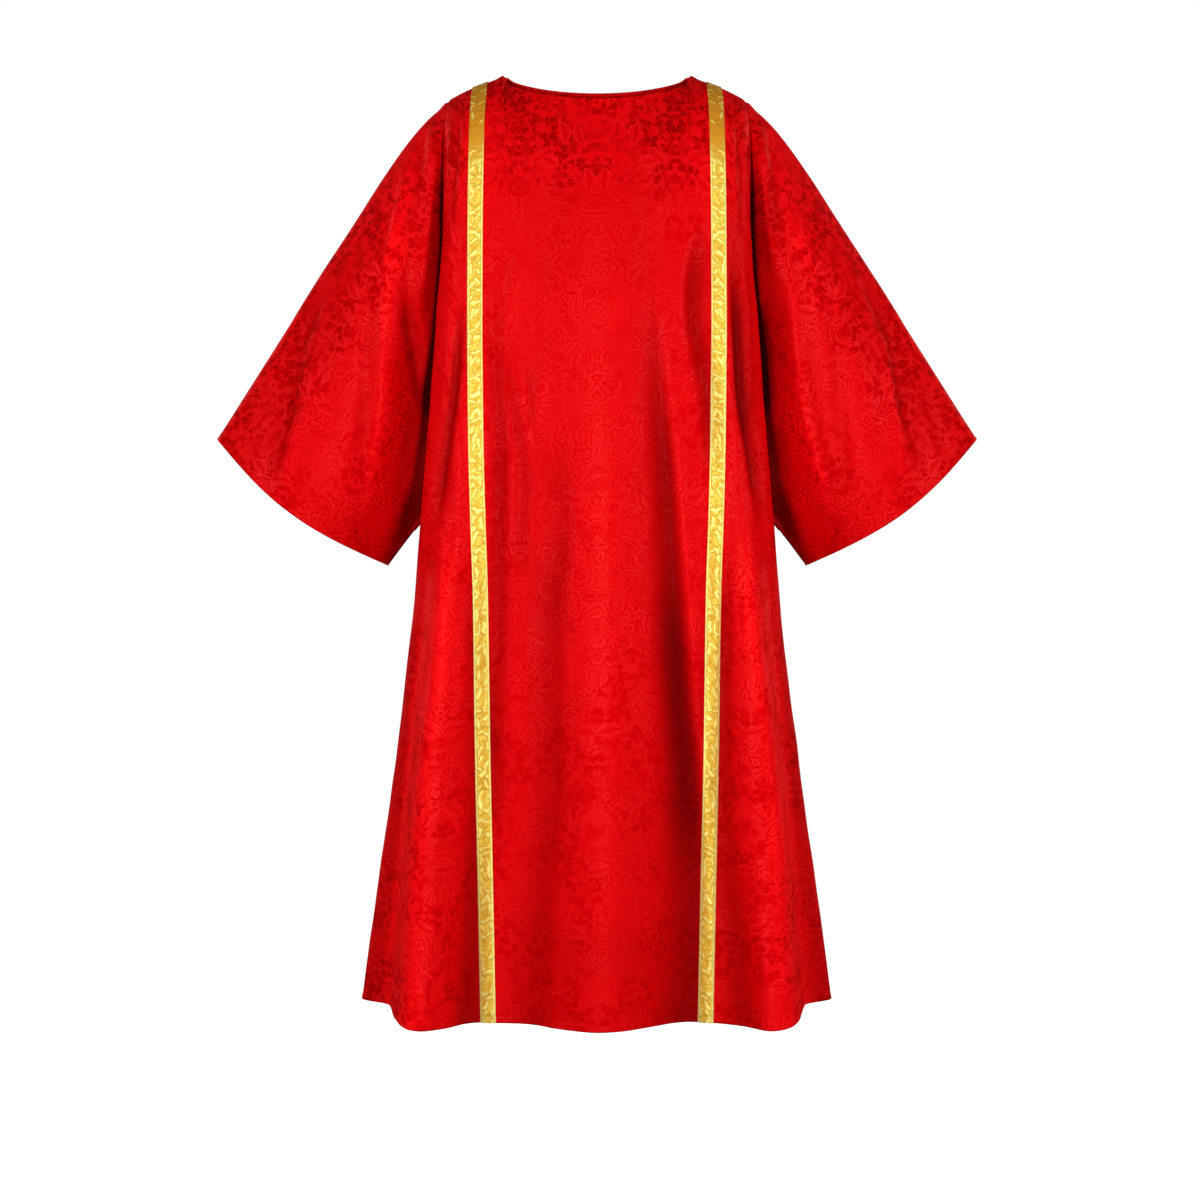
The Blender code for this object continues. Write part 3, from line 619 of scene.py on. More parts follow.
# %% [markdown]
# The bare cloth is moved along its normals by the creases and the ripple. Both fade out at the seams,
# so that neighbours meet. Along the hem, the stitches draw the cloth in and out a little. Then the wall
# is made, with its hem, and its places on the flat cloth are measured from the centre and the hem.

# %% Front and back
COLUMN_WIDTH = 0.011     # mean width of a column at the armhole
RIPPLE = 0.0005
PUCKER = 0.0003          # how far the hem's stitches draw the cloth in and out
PUCKER_PITCH = 0.011
PUCKER_DRIFT = 37.0      # makes the pitch uneven
PUCKER_REACH = 0.016
SEAM_FADE = 1.6          # columns over which the creases fade out towards a side
TOP_FADE = 0.035


def creased_panel(side, column, share):
    """Points, normals and painted shade of the creased cloth."""
    points = bare_panel(side, column, share)
    normals = panel_normals(side, column, share)
    across, drop = points[..., 0], -points[..., 2]
    to_seam = LAST_COLUMN - np.abs(column)
    from_edge = (1.0 - share) * PANEL_LENGTH
    out, painted_shade = relief(CREASES[side], across, drop)
    out = out + ripple(RIPPLE_SEEDS[side], across, drop, RIPPLE)
    out = out * ease(to_seam / SEAM_FADE) * ease(share / TOP_FADE)
    pull = np.sin(across * 2.0 * math.pi / PUCKER_PITCH + 2.0 * np.sin(across * PUCKER_DRIFT))
    out = out + PUCKER * pull * ease(1.0 - from_edge / PUCKER_REACH)
    painted_shade = painted_shade + seam_painted_shade("panel", to_seam * COLUMN_WIDTH, drop)
    return points + normals * out[..., None], normals, np.clip(painted_shade, MOST_PAINTED_HIGHLIGHT, MOST_PAINTED_SHADE)


def add_panel(side):
    """The front or the back, with its hem."""
    share, column = np.meshgrid(row_shares(), fine_columns(), indexing="ij")
    points, normals, painted_shade = creased_panel(side, column, share)
    proud, deep = hem_layers((1.0 - share) * PANEL_LENGTH)
    aside = lengths_along(points, 1)
    aside = aside - aside[:, points.shape[1] // 2][:, None]
    up = lengths_along(points[::-1], 0)[::-1]
    flat = np.stack([aside, up], axis=-1)
    return add_piece("damask_" + side, points + normals * proud, points - normals * deep, flat, painted_shade)


damask = {side: add_panel(side) for side in SIDES}

# %% [markdown]
# ## Sleeves
# A sleeve is a wide tube. It starts on the armhole seam of the two panels, keeps the direction in which
# it leaves them for a while, and ends on a slanted cuff that is much wider than the arm. Each of its
# lengthwise lines is a curve with a set direction at either end. The wearer's two sleeves hang alike
# but not the same, so each has its own creases, in front and behind.

# %% Creases of the sleeves
# The same columns as in the table of the body's creases.
SLEEVE_CREASES = {
    "left": {
        "front": (
            (10, 10, 14, 0, 0, (212, 40), (219, 120), (230, 210), (240, 290)),
            (0, 17, 17, 0, -0.26, (214, 30), (236, 105), (262, 200), (280, 290)),
            (0, 20, 26, 0, 0.2, (224, 130), (236, 240), (246, 350), (258, 460)),
            (5, 12, 18, -0.6, -0.24, (236, 170), (248, 250), (259, 309), (264, 376), (272, 443), (285, 501),
             (299, 554), (308, 640)),
            (-9, 8, 10, 0, 0.25, (212, 300), (218, 350), (222, 410), (228, 470)),
            (-10, 12, 18, 0, 0.25, (228, 440), (240, 520), (258, 650)),
            (-8, 10, 14, 0.3, 0.22, (346, 225), (357, 276), (376, 322), (397, 376), (406, 430), (420, 485),
             (438, 540)),
            (4, 8, 11, 0, 0, (377, 326), (384, 380), (397, 464), (418, 560)),
            (-3.5, 8, 11, 0, 0.1, (430, 405), (450, 465), (466, 515)),
            (-4.5, 10, 13, 0, 0.12, (300, 250), (312, 350), (322, 470), (330, 600)),
            (-4, 6, 8, 0, 0.25, (221, 50), (228, 110), (236, 180), (246, 230)),
        ),
        "back": (
            (8, 10, 15, 0, 0, (214, 50), (224, 160), (236, 270)),
            (-11, 11, 16, 0, 0.5, (226, 260), (236, 340), (240, 450), (256, 640)),
            (-8, 11, 16, 0.2, 0.3, (320, 240), (344, 340), (366, 440), (380, 570)),
            (4, 10, 14, 0, 0, (290, 220), (306, 340), (318, 460), (330, 600)),
            (-5, 10, 14, 0, 0.15, (400, 370), (424, 440), (446, 520)),
        ),
    },
    "right": {
        "front": (
            (11, 9, 12, 0, 0, (213, 40), (218, 140), (228, 240), (236, 330)),
            (0, 17, 17, 0, -0.26, (214, 30), (236, 105), (262, 200), (280, 290)),
            (5, 12, 17, -0.6, -0.2, (251, 90), (260, 165), (268, 209), (280, 286), (283, 376), (286, 443),
             (295, 510), (303, 577), (315, 650)),
            (-9, 9, 10, 0, 0.25, (254, 280), (247, 330), (237, 390), (228, 470)),
            (-10, 12, 18, 0, 0.25, (234, 430), (246, 520), (262, 650)),
            (-8, 11, 14, 0.3, 0.22, (360, 255), (374, 313), (399, 376), (408, 420), (419, 478), (436, 556)),
            (4, 8, 11, 0, 0, (372, 350), (385, 443), (403, 491), (424, 580)),
            (3.5, 7, 10, 0, 0, (410, 350), (430, 397), (455, 436), (478, 480)),
            (-4.5, 9, 12, 0, 0.12, (298, 250), (302, 330), (306, 438), (314, 560)),
            (-4.5, 7, 9, 0, 0.25, (226, 60), (234, 120), (246, 190), (262, 250)),
        ),
        "back": (
            (9, 10, 13, 0, 0, (213, 50), (222, 150), (233, 250)),
            (-12, 11, 16, 0, 0.5, (224, 240), (234, 330), (242, 460), (260, 640)),
            (-7, 10, 15, -0.2, 0.28, (306, 220), (328, 330), (344, 440), (352, 590)),
            (4, 10, 14, 0, 0, (276, 200), (290, 330), (300, 470), (306, 610)),
            (-6, 10, 14, 0.2, 0.18, (386, 340), (410, 430), (434, 540)),
        ),
    },
}
print("sleeve creases:", {name: [len(c) for c in both.values()] for name, both in SLEEVE_CREASES.items()})

# %% [markdown]
# The start of each lengthwise line lies on the armhole, and its lead is the way in which the body's
# cloth arrives there, so that the seam shows no kink. That way is square to the armhole and to the
# cloth's normal, which the seam's table gives as a facing and a dip.

# %% Armhole edge
# How long the leads are, and at which shares of the way from the top to the underarm.
SEAM_LEADS = (0.190, 0.060, 0.100, 0.120, 0.012)
SEAM_LEAD_PLACES = (0.0, 0.25, 0.45, 0.8, 1.0)
CAD_ROW_CROWDING = 1.9
RIDGE_STEP = 2.0 * MM    # the ridge's slope is taken this far either way


def armhole_edge(side):
    """Points of the armhole on one panel, and the way from the body into the sleeve at each."""
    share = armhole_share() * (np.arange(ROWS_ABOVE + 2) / ROWS_ABOVE) ** UPPER_CROWDING
    rows = bare_panel(side, np.full(len(share), LAST_COLUMN), share)
    along = unit(np.gradient(rows, axis=0))[:-1]
    rows = rows[:-1]
    sign = forwards(side)
    along[0] = (0.0, sign, 0.0)
    along[-1] = (0.0, -sign, 0.0)
    drop = -rows[:, 2]
    facing = np.radians(seam_value("facing", drop))
    dip = np.radians(seam_value("dip", drop))
    lift = np.radians(90.0) * (1.0 - np.clip((drop - drop[0]) / SHOULDER_ROUND, 0.0, 1.0) ** 0.5)
    level = np.stack([np.sin(facing), sign * np.cos(facing), 0.0 * drop], axis=-1)
    pitch = (lift - dip)[:, None]
    normal = level * np.cos(pitch) + np.array([0.0, 0.0, 1.0]) * np.sin(pitch)
    either_way = rows[0, 0] + np.array([RIDGE_STEP, -RIDGE_STEP])
    fall = np.subtract(*smooth(*RIDGE.values(), either_way)) / (2.0 * RIDGE_STEP)
    normal[0] = (fall, 0.0, 1.0)
    normal = unit(normal - along * np.sum(normal * along, axis=-1, keepdims=True))
    return rows, unit(np.cross(along, normal)) * sign


def sleeve_lines():
    """Start, lead and share of the cuff for every lengthwise line: down the front, up the back."""
    lines = []
    for side in SIDES:
        rows, onward = armhole_edge(side)
        share = (np.arange(ROWS_ABOVE + 1) / ROWS_ABOVE) ** (UPPER_CROWDING / CAD_ROW_CROWDING)
        leads = onward * smooth(SEAM_LEAD_PLACES, SEAM_LEADS, share)[:, None]
        order = slice(None) if side == "front" else slice(ROWS_ABOVE - 1, 0, -1)
        lines.append([part[order] for part in (rows, leads, share, np.full(len(share), forwards(side)))])
    return [np.concatenate(parts) for parts in zip(*lines)]


print("a sleeve has", len(sleeve_lines()[0]), "lengthwise lines")

# %% [markdown]
# The end of each line lies on the cuff's slanted oval. In between, the cloth fills out a little round
# the upper arm, and it sags just beyond the shoulder.

# %% Bare sleeve
CUFF_TIP = (0.510, 0.487)            # across and drop of the cuff's top
CUFF_CORNER = (0.2805, 0.656)        # and of its lowest corner, near the body
CUFF_HALF_DEPTH = 0.066
CUFF_SWING = 0.019                   # how far the cuff's edge bows outwards
CUFF_DEEPEST = 0.56                  # share of the cuff at which it is widest from front to back
CUFF_ROUNDNESS = 0.85
TOP_FALL = 1.56                      # slope of the sleeve's top at the cuff
TOP_TURNS = 3.0                      # the lower lines end along the arm, from a third of the way round
UPPER_ARM_FILL = 0.022
FILL_SKEW = 0.7
SHOULDER_SUNK = 0.0068               # the cloth's own weight pulls the sleeve's top down this far
SUNK_FROM = 0.110                    # as a share of the sleeve's length
SUNK_TO_DROP = 0.335
SUNK_FADE = 0.17


def bare_sleeve(stations):
    """Points of the uncreased +X sleeve, rows from the armhole to the cuff."""
    starts, leads, shares, sides = sleeve_lines()
    tip = np.array([CUFF_TIP[0], 0.0, -CUFF_TIP[1]])
    chord = np.array([CUFF_CORNER[0], 0.0, -CUFF_CORNER[1]]) - tip
    arm_way = unit((-chord[2], 0.0, chord[0]))
    bow = np.sin(math.pi * shares ** (math.log(0.5) / math.log(CUFF_DEEPEST)))
    ends = tip + shares[:, None] * chord + arm_way * (CUFF_SWING * np.sin(math.pi * shares))[:, None]
    ends[:, 1] += sides * CUFF_HALF_DEPTH * np.clip(bow, 0.0, 1.0) ** CUFF_ROUNDNESS
    top_way = unit((1.0, 0.0, -TOP_FALL))
    end_ways = unit(top_way + ease(shares * TOP_TURNS)[:, None] * (arm_way - top_way))
    reaches = np.linalg.norm(ends - starts, axis=1)[:, None]
    t = stations[:, None, None]
    points = (starts * (1 + 2 * t) * (1 - t) ** 2 + ends * t * t * (3 - 2 * t)
              + leads * t * (1 - t) ** 2 - end_ways * reaches * t * t * (1 - t))
    filled = np.sin(math.pi * stations)[:, None] * np.sin(math.pi * shares ** FILL_SKEW)
    points[..., 1] += sides * UPPER_ARM_FILL * filled
    sunk = ease(t / SUNK_FROM) * ease((SUNK_TO_DROP + points[..., 2:]) / SUNK_FADE)
    sunk = sunk * (1.0 - shares[:, None]) ** 0.5
    return points + SHOULDER_SUNK * sunk * np.array([top_way[2], 0.0, -top_way[0]]), shares, sides


def ring_normals(points):
    """Outward normals of a tube of points."""
    down = np.gradient(points, axis=0)
    aside = np.roll(points, -1, axis=1) - np.roll(points, 1, axis=1)
    normals = unit(np.cross(aside, down))
    outward = points - points.mean(axis=1, keepdims=True)
    return normals if np.sum(normals * outward) > 0.0 else -normals


cuff = bare_sleeve(np.array([1.0]))[0][0]
print("cuff is", round(float(lengths_along(np.concatenate([cuff, cuff[:1]]), 0)[-1]), 3), "m round")

# %% [markdown]
# The rows of a sleeve crowd at both ends. Its flat places run down the arm, and round it from the fold
# along the top, so that the figure meets itself only under the arm.

# %% Rows and flat places of a sleeve
SLEEVE_LENGTH = 0.40     # mean length from the armhole to the cuff
SLEEVE_ROWS = 120
ROW_CROWDING = 1.15
ARM_FROM_DROP = 0.05     # the arm's line starts at the seam this far down, and ends at the cuff's tip


def sleeve_stations():
    """Rows from the armhole to the cuff, crowded at both."""
    hem = 1.0 - np.array(HEM_ROWS) / SLEEVE_LENGTH
    return np.concatenate([hem[0] * (np.arange(SLEEVE_ROWS) / SLEEVE_ROWS) ** ROW_CROWDING, hem])


def sleeve_flat_places(points, sides):
    """Places on the flat cloth: down the arm, and round it from the top on either side."""
    arm = unit((CUFF_TIP[0] - seam_value("across", ARM_FROM_DROP), 0.0, ARM_FROM_DROP - CUFF_TIP[1]))
    below = np.array([arm[2], 0.0, -arm[0]])
    wrapped = np.concatenate([points, points[:, :1]], axis=1)
    steps = np.diff(wrapped, axis=1)
    steps = np.linalg.norm(steps - arm * np.sum(steps * arm, axis=-1, keepdims=True), axis=-1)
    start = np.sum((points[:, :1] - points[:1, :1]) * below, axis=-1)
    front = start + np.concatenate([0.0 * start, np.cumsum(steps, axis=1)], axis=1)
    back = start + np.concatenate([np.cumsum(steps[:, ::-1], axis=1)[:, ::-1], 0.0 * start], axis=1)
    behind = np.append(sides > 0.0, True)
    return np.stack([np.where(behind, -back, front), -np.sum(wrapped * arm, axis=-1)], axis=-1)


print("a sleeve has", len(sleeve_stations()), "rows")

# %% [markdown]
# The creases of a sleeve are laid in the same way as those of the body. They fade where the front of the
# tube turns into its back, so the two halves stay joined. The cuff is hemmed like the lower edge.

# %% Sleeves
CUFF_PUCKERS = 27
ARMHOLE_FADE = 0.09
SLEEVE_RIPPLE = 0.0004
RIPPLE_DOWN, RIPPLE_DEEP = 1.4, 3.0      # how the ripple's waves run along and round the sleeve


def creased_sleeve(name):
    """Points, normals, painted shade, which half each line is on, and the way from the cuff's edge."""
    stations = sleeve_stations()
    points, shares, sides = bare_sleeve(stations)
    normals = ring_normals(points)
    across, drop = points[..., 0], -points[..., 2]
    halves = [relief(SLEEVE_CREASES[name][side], across, drop) for side in SIDES]
    out, painted_shade = [np.where(sides < 0.0, front, back) for front, back in zip(*halves)]
    along = drop * RIPPLE_DOWN + RIPPLE_DEEP * points[..., 1]
    out = out + ripple(RIPPLE_SEEDS[name], across, along, SLEEVE_RIPPLE)
    turned = np.clip(np.sin(math.pi * shares), 0.0, 1.0) ** 0.5
    out = out * turned * ease(stations / ARMHOLE_FADE)[:, None]
    from_edge = ((1.0 - stations) * SLEEVE_LENGTH)[:, None] * np.ones_like(across)
    pull = np.sin(shares * 2.0 * math.pi * CUFF_PUCKERS + sides) * turned
    out = out + PUCKER * pull * ease(1.0 - from_edge / PUCKER_REACH)
    painted_shade = np.clip(painted_shade + seam_painted_shade(name, lengths_along(points, 0), drop), MOST_PAINTED_HIGHLIGHT, MOST_PAINTED_SHADE)
    return points + normals * out[..., None], normals, painted_shade, sides, from_edge


def add_sleeve(name, flip):
    """One sleeve with its hem. Its flip is the sign of X on that side."""
    points, normals, painted_shade, sides, from_edge = creased_sleeve(name)
    proud, deep = hem_layers(from_edge)
    mirror = np.array([flip, 1.0, 1.0])
    outer, inner = (points + normals * proud) * mirror, (points - normals * deep) * mirror
    flat = sleeve_flat_places(points, sides)
    item = add_piece("damask_sleeve_" + name, outer, inner, flat, painted_shade, closed=True)
    return item, points * mirror, normals * mirror


HANDS = {"left": 1.0, "right": -1.0}     # the sign of X on the wearer's left and right
sleeves = {name: add_sleeve(name, flip) for name, flip in HANDS.items()}

# %% [markdown]
# ## Gold bands
# A band is a flat braid, 20 mm wide, sewn on from hem to hem over each shoulder. It lies on the creased
# cloth, so its grid is the panel's own surface, taken more finely and lifted off. Its profile has a
# raised border along both edges, and a groove where the stitches run. Three lengths of braid are
# joined end to end in front, and the joins show as low steps.

# %% Bands
BRAID = table(("from_edge", "lift"), (
    (0.0, 0.4), (0.6, 1.2), (1.2, 1.4), (1.9, 0.9), (2.7, 1.3), (10.0, 1.4),
), MM)
BRAID_FOOT = 0.0002      # air under the braid
BRAID_FINENESS = 10      # columns of the braid for each column of the cut
# Drops at which two lengths of braid meet. The lowest is the end that is turned under.
BRAID_JOINS = {"front": (0.172, 1.064, 1.239), "back": (0.420, 1.234)}
JOIN_STEP = 0.0006
JOIN_LENGTH = 0.006
JOIN_SHARPNESS = 8.0


def braid_grid(side, flip):
    """Points, normals, painted shade, lift and places across of half a braid, from the ridge to the hem."""
    share = row_shares()
    share = np.sort(np.concatenate([share, (share[1:] + share[:-1]) / 2]))
    count = int((BAND_COLUMNS[1] - BAND_COLUMNS[0]) * BRAID_FINENESS)
    column = np.linspace(*BAND_COLUMNS, count + 1) * flip
    share, column = np.meshgrid(share, column, indexing="ij")
    points, normals, painted_shade = creased_panel(side, column, share)
    aside = lengths_along(points, 1)
    width = aside[:, -1:]
    lift = smooth(*BRAID.values(), np.minimum(aside, width - aside))
    drop = -points[..., 2]
    for join in BRAID_JOINS[side]:
        above = (join - drop) / JOIN_LENGTH
        lift = lift + JOIN_STEP * ease(above * JOIN_SHARPNESS + 0.5) * ease(2.0 - above)
    return points, normals, painted_shade, lift, aside - width / 2


def add_braid(name, flip):
    """One braid, from the front hem over the shoulder to the back hem."""
    front, back = braid_grid("front", flip), braid_grid("back", flip)
    points, normals, painted_shade, lift, aside = [np.concatenate([f[:0:-1], b]) for f, b in zip(front, back)]
    ridge = len(front[0]) - 1
    normals[ridge] = unit(normals[ridge - 1] + normals[ridge + 1])
    along = lengths_along(points, 0)
    flat = np.stack([aside, along - along[ridge]], axis=-1)
    item = add_piece("braid_" + name, points + normals * (BRAID_FOOT + lift)[..., None],
                     points + normals * BRAID_FOOT, flat, painted_shade)
    return item, points, normals, lift


braids = {name: add_braid(name, flip) for name, flip in HANDS.items()}

# %% [markdown]
# ## Neck binding
# The neckline is bound with a narrow strip of the same damask, folded over the raw edge. It is a low
# round roll, which puckers a little on the tight part of the curve at either side.

# %% Neck ring
NECK_FINENESS = 24       # places round the neck for each column of the cut
CORNER_SOFTENING = 6     # rounds of averaging where the front meets the back


def neck_ring():
    """Points of the neck edge, the way inwards and the way out of the cloth, once round."""
    count = int(NECK_COLUMN * NECK_FINENESS)
    column = np.arange(-count, count + 1) / NECK_FINENESS
    rings = []
    for side, order in zip(SIDES, (slice(None), slice(-2, 0, -1))):
        share = np.zeros_like(column)
        rings.append((bare_panel(side, column, share)[order], panel_normals(side, column, share)[order]))
    points, normals = [np.concatenate(parts) for parts in zip(*rings)]
    for _ in range(CORNER_SOFTENING):
        normals = unit(normals + np.roll(normals, 1, axis=0) + np.roll(normals, -1, axis=0))
    along = unit(np.roll(points, -1, axis=0) - np.roll(points, 1, axis=0))
    inward = unit(np.cross(along, normals))
    inward[np.sum(inward * points * np.array([1.0, 1.0, 0.0]), axis=1) > 0.0] *= -1.0
    normals = unit(np.cross(inward, along))
    normals[normals[:, 2] < 0.0] *= -1.0
    return points, inward, normals


neck_edge = neck_ring()
print("neck edge has", len(neck_edge[0]), "places")

# %% [markdown]
# The roll is a small closed profile, carried round that ring. Its outer half puckers at the pitch of
# the stitches that hold it.

# %% Neck roll
# How far inwards and how far out of the cloth, once round the roll.
BINDING_PROFILE = np.array((
    (0.0, 0.2), (0.4, 0.8), (1.2, 1.1), (2.6, 1.1), (4.2, 0.9), (5.4, 0.4),
    (6.0, -0.4), (5.6, -1.3), (4.4, -1.8), (2.4, -1.9), (0.6, -1.7), (0.1, -0.8),
)) * MM
NECK_PUCKER = 0.16       # share of the roll's height
NECK_PUCKER_PITCH = 0.0062


def add_binding(points, inward, normals):
    """The roll round the neckline."""
    along = lengths_along(np.concatenate([points, points[:1]]), 0)
    away = lengths_along(np.concatenate([BINDING_PROFILE, BINDING_PROFILE[:1]]), 0)
    pucker = 1.0 + NECK_PUCKER * np.sin(along[:-1] * 2.0 * math.pi / NECK_PUCKER_PITCH)[:, None]
    tube = np.stack([points + inward * inwards + normals * (out * pucker if out > 0.0 else out)
                     for inwards, out in BINDING_PROFILE], axis=1)
    rows, columns = tube.shape[:2]
    index = np.arange(rows * columns).reshape(rows, columns)
    lower = np.roll(index, -1, axis=0)
    faces = np.stack([index, lower, np.roll(lower, -1, axis=1), np.roll(index, -1, axis=1)], axis=-1)
    corner_row = np.arange(rows)[:, None, None] + np.array([0, 1, 1, 0])
    corner_column = np.arange(columns)[:, None] + np.array([0, 0, 1, 1])
    flat = np.stack(np.broadcast_arrays(away[corner_column][None], along[corner_row]), axis=-1)
    item = add_object("neck_roll", tube.reshape(-1, 3), faces.reshape(-1, 4).tolist(), flat)
    print("neck roll is", round(float(along[-1]), 3), "m round")
    return item


neck_roll = add_binding(*neck_edge)

# %% [markdown]
# ## Stitches
# One stitch is modelled first: a small ball with few faces, stretched to a lying thread and pressed
# flat. It is then copied along every seam line, turned to follow it and sunk a little into the cloth.

# %% One stitch
STITCH_PITCH = 0.0032
STITCH_LENGTH = 0.0025
STITCH_THICKNESS = 0.00055
STITCH_FLATNESS = 0.7

bpy.ops.object.select_all(action="DESELECT")
bpy.ops.mesh.primitive_uv_sphere_add(segments=6, ring_count=4, radius=0.5, rotation=(0.0, math.pi / 2, 0.0))
stitch = bpy.context.object
stitch.name = "stitch_pattern"
bpy.ops.object.transform_apply(location=True, rotation=True, scale=True)
bpy.ops.transform.resize(value=(STITCH_LENGTH, STITCH_THICKNESS, STITCH_THICKNESS * STITCH_FLATNESS))
bpy.ops.object.transform_apply(location=True, rotation=True, scale=True)
stitch_points = np.array([v.co for v in stitch.data.vertices])
# Sorted, because the ball's faces come in another order each time.
stitch_faces = sorted(list(p.vertices) for p in stitch.data.polygons)
bpy.data.objects.remove(stitch)
print("a stitch has", len(stitch_faces), "faces")

# %% [markdown]
# ## Lines of sewing
# A machine sews at an even pitch, so the places are spread evenly along each line. All the stitches of
# one line of sewing become one piece.

# %% Sewing along a line
def evenly(points, normals, pitch):
    """Places, directions and normals at an even pitch along a line of points."""
    run = lengths_along(points, 0)
    at = np.arange(pitch / 2, run[-1], pitch)

    def along(values, shift=0.0):
        return np.stack([np.interp(at + shift, run, values[:, i]) for i in range(3)], axis=-1)

    place = along(points)
    ahead = along(points, pitch / 2) - place
    ahead[-1] = ahead[-2]
    return place, unit(ahead), unit(along(normals))


def add_stitches(name, lines):
    """One piece with all the stitches along some lines, each a pair of points and normals."""
    points, faces = [], []
    for line, normals in lines:
        for place, along, up in zip(*evenly(line, normals, STITCH_PITCH)):
            aside = np.cross(up, along)
            aside /= np.linalg.norm(aside)
            first = len(points) * len(stitch_points)
            points.append(stitch_points @ np.array([along, aside, np.cross(along, aside)]) + place)
            faces += [[first + corner for corner in face] for face in stitch_faces]
    print("stitches_" + name, "has", len(points), "stitches")
    return add_object("stitches_" + name, np.concatenate(points), faces, outward=False)


# %% [markdown]
# The lines are taken from the grids of the pieces that they hold: the grooves of the braids, the hems,
# the cuffs, and the middle of the neck roll.

# %% Lines of stitches
ABOVE_CLOTH = 0.0001
ABOVE_BRAID = 0.00005
BRAID_GROOVE = 2         # columns from the edge of the braid
NECK_LINE = (0.0012, 0.0011)         # inwards, and out of the cloth


def braid_line(points, normals, lift, column):
    """The groove near one edge of a braid."""
    up = normals[:, column]
    return points[:, column] + up * (BRAID_FOOT + lift[:, column] + ABOVE_BRAID)[:, None], up


def hem_line(side):
    """The line along the lower edge of a panel."""
    column = fine_columns()[2:-2]
    share = np.full(len(column), 1.0 - HEM_STITCHES / PANEL_LENGTH)
    points, normals, _ = creased_panel(side, column, share)
    return points + normals * ABOVE_CLOTH, normals


def cuff_line(points, normals):
    """The line round a cuff."""
    row = -1 - HEM_ROWS[::-1].index(HEM_STITCHES)
    closed = [0] + list(range(points.shape[1] - 1, -1, -1))
    up = normals[row, closed]
    return points[row, closed] + up * ABOVE_CLOTH, up


def neck_line(points, inward, normals):
    """The line round the neck roll."""
    line = points + inward * NECK_LINE[0] + normals * NECK_LINE[1]
    return np.concatenate([line, line[:1]]), np.concatenate([normals, normals[:1]])


grooves = (BRAID_GROOVE, -1 - BRAID_GROOVE)
sewing = {"braid_" + hand: [braid_line(*braids[hand][1:], column) for column in grooves] for hand in HANDS}
sewing |= {"hem_" + side: [hem_line(side)] for side in SIDES}
sewing |= {"cuff_" + hand: [cuff_line(*sleeves[hand][1:])] for hand in HANDS}
sewing["neck"] = [neck_line(*neck_edge)]
stitches = {name: add_stitches(name, lines) for name, lines in sewing.items()}

# %% [markdown]
# ## Nodes for the finishes
# A finish is a network of small nodes. Arithmetic on an `Output` adds Math nodes, so that each network
# below reads like a recipe. `node` fills the inputs of a new node with numbers, or links them to
# outputs. It gives the node's first output, and `[...]` picks another.

# %% Nodes and their outputs
class Output:
    """What a node gives, as a number, a vector or a colour."""

    def __init__(self, made, key=0):
        self.made, self.key = made, key

    def __getitem__(self, key):
        return Output(self.made, key)

    @property
    def socket(self):
        """The socket to link from."""
        return self.made.outputs[self.key]

    def __add__(self, other):
        return maths("ADD", self, other)

    def __sub__(self, other):
        return maths("SUBTRACT", self, other)

    def __rsub__(self, other):
        return maths("SUBTRACT", other, self)

    def __mul__(self, other):
        return maths("MULTIPLY", self, other)

    def __truediv__(self, other):
        return maths("DIVIDE", self, other)

    def __gt__(self, other):
        return maths("GREATER_THAN", self, other)

    def __abs__(self):
        return maths("ABSOLUTE", self)


def node(kind, values=None, tree=None, **settings):
    """A new node in a tree, by default the tree of the outputs that it is linked to."""
    values = values or {}
    tree = tree or next(value.made.id_data for value in values.values() if isinstance(value, Output))
    made = tree.nodes.new("ShaderNode" + kind)
    for key, setting in settings.items():
        setattr(made, key, setting)
    for key, value in values.items():
        if isinstance(value, Output):
            tree.links.new(value.socket, made.inputs[key])
        else:
            made.inputs[key].default_value = value
    return Output(made)


def maths(operation, *terms, clamp=False):
    """The result of a Math node."""
    return node("Math", dict(enumerate(terms)), operation=operation, use_clamp=clamp)


# %% [markdown]
# A few small sums come up again and again in the finishes: the larger of two, a soft step, a soft
# line, a mix, and a field of chance.

# %% Common sums
def larger(first, second):
    """The larger of two values."""
    return maths("MAXIMUM", first, second)


def vectors(operation, first, second):
    """The result of a Vector Math node. A vector is scaled by a value."""
    return node("VectorMath", {0: first, "Scale" if operation == "SCALE" else 1: second}, operation=operation)


def noise(place, scale, detail, dimensions="2D"):
    """A smooth field of chance."""
    return node("TexNoise", {"Vector": place, "Scale": scale, "Detail": detail}, noise_dimensions=dimensions)


def step_up(value, low, high):
    """0 below low, 1 above high and soft between."""
    return node("MapRange", {"Value": value, "From Min": low, "From Max": high},
                interpolation_type="SMOOTHSTEP")


def ring(value, middle, half_width, softness):
    """1 where a value is near the middle, and soft at both sides."""
    return 1.0 - step_up(abs(value - middle), half_width - softness, half_width + softness)


def between(share, first, second):
    """A value between two values."""
    return node("Mix", {0: share, 2: first, 3: second}, data_type="FLOAT")


def mixed(share, first, second):
    """A colour between two colours."""
    return node("Mix", {0: share, 6: first, 7: second}, data_type="RGBA")[2]


# %% [markdown]
# A part of a finish that has a job of its own, such as the tone or the threads, is a node group. It is
# built by a recipe, which takes the group's inputs and gives its outputs by their names.

# %% Groups
def new_group(name, inputs, build):
    """A node group, built by its recipe."""
    tree = bpy.data.node_groups.new(name, "ShaderNodeTree")
    for label, kind in inputs.items():
        tree.interface.new_socket(label, in_out="INPUT", socket_type="NodeSocket" + kind)
    results = build(Output(tree.nodes.new("NodeGroupInput")))
    end = tree.nodes.new("NodeGroupOutput")
    for label, value in results.items():
        kind = "Vector" if value.socket.type == "VECTOR" else "Float"
        tree.interface.new_socket(label, in_out="OUTPUT", socket_type="NodeSocket" + kind)
        tree.links.new(value.socket, end.inputs[label])
    print("group", name, "has", len(tree.nodes), "nodes")
    return tree


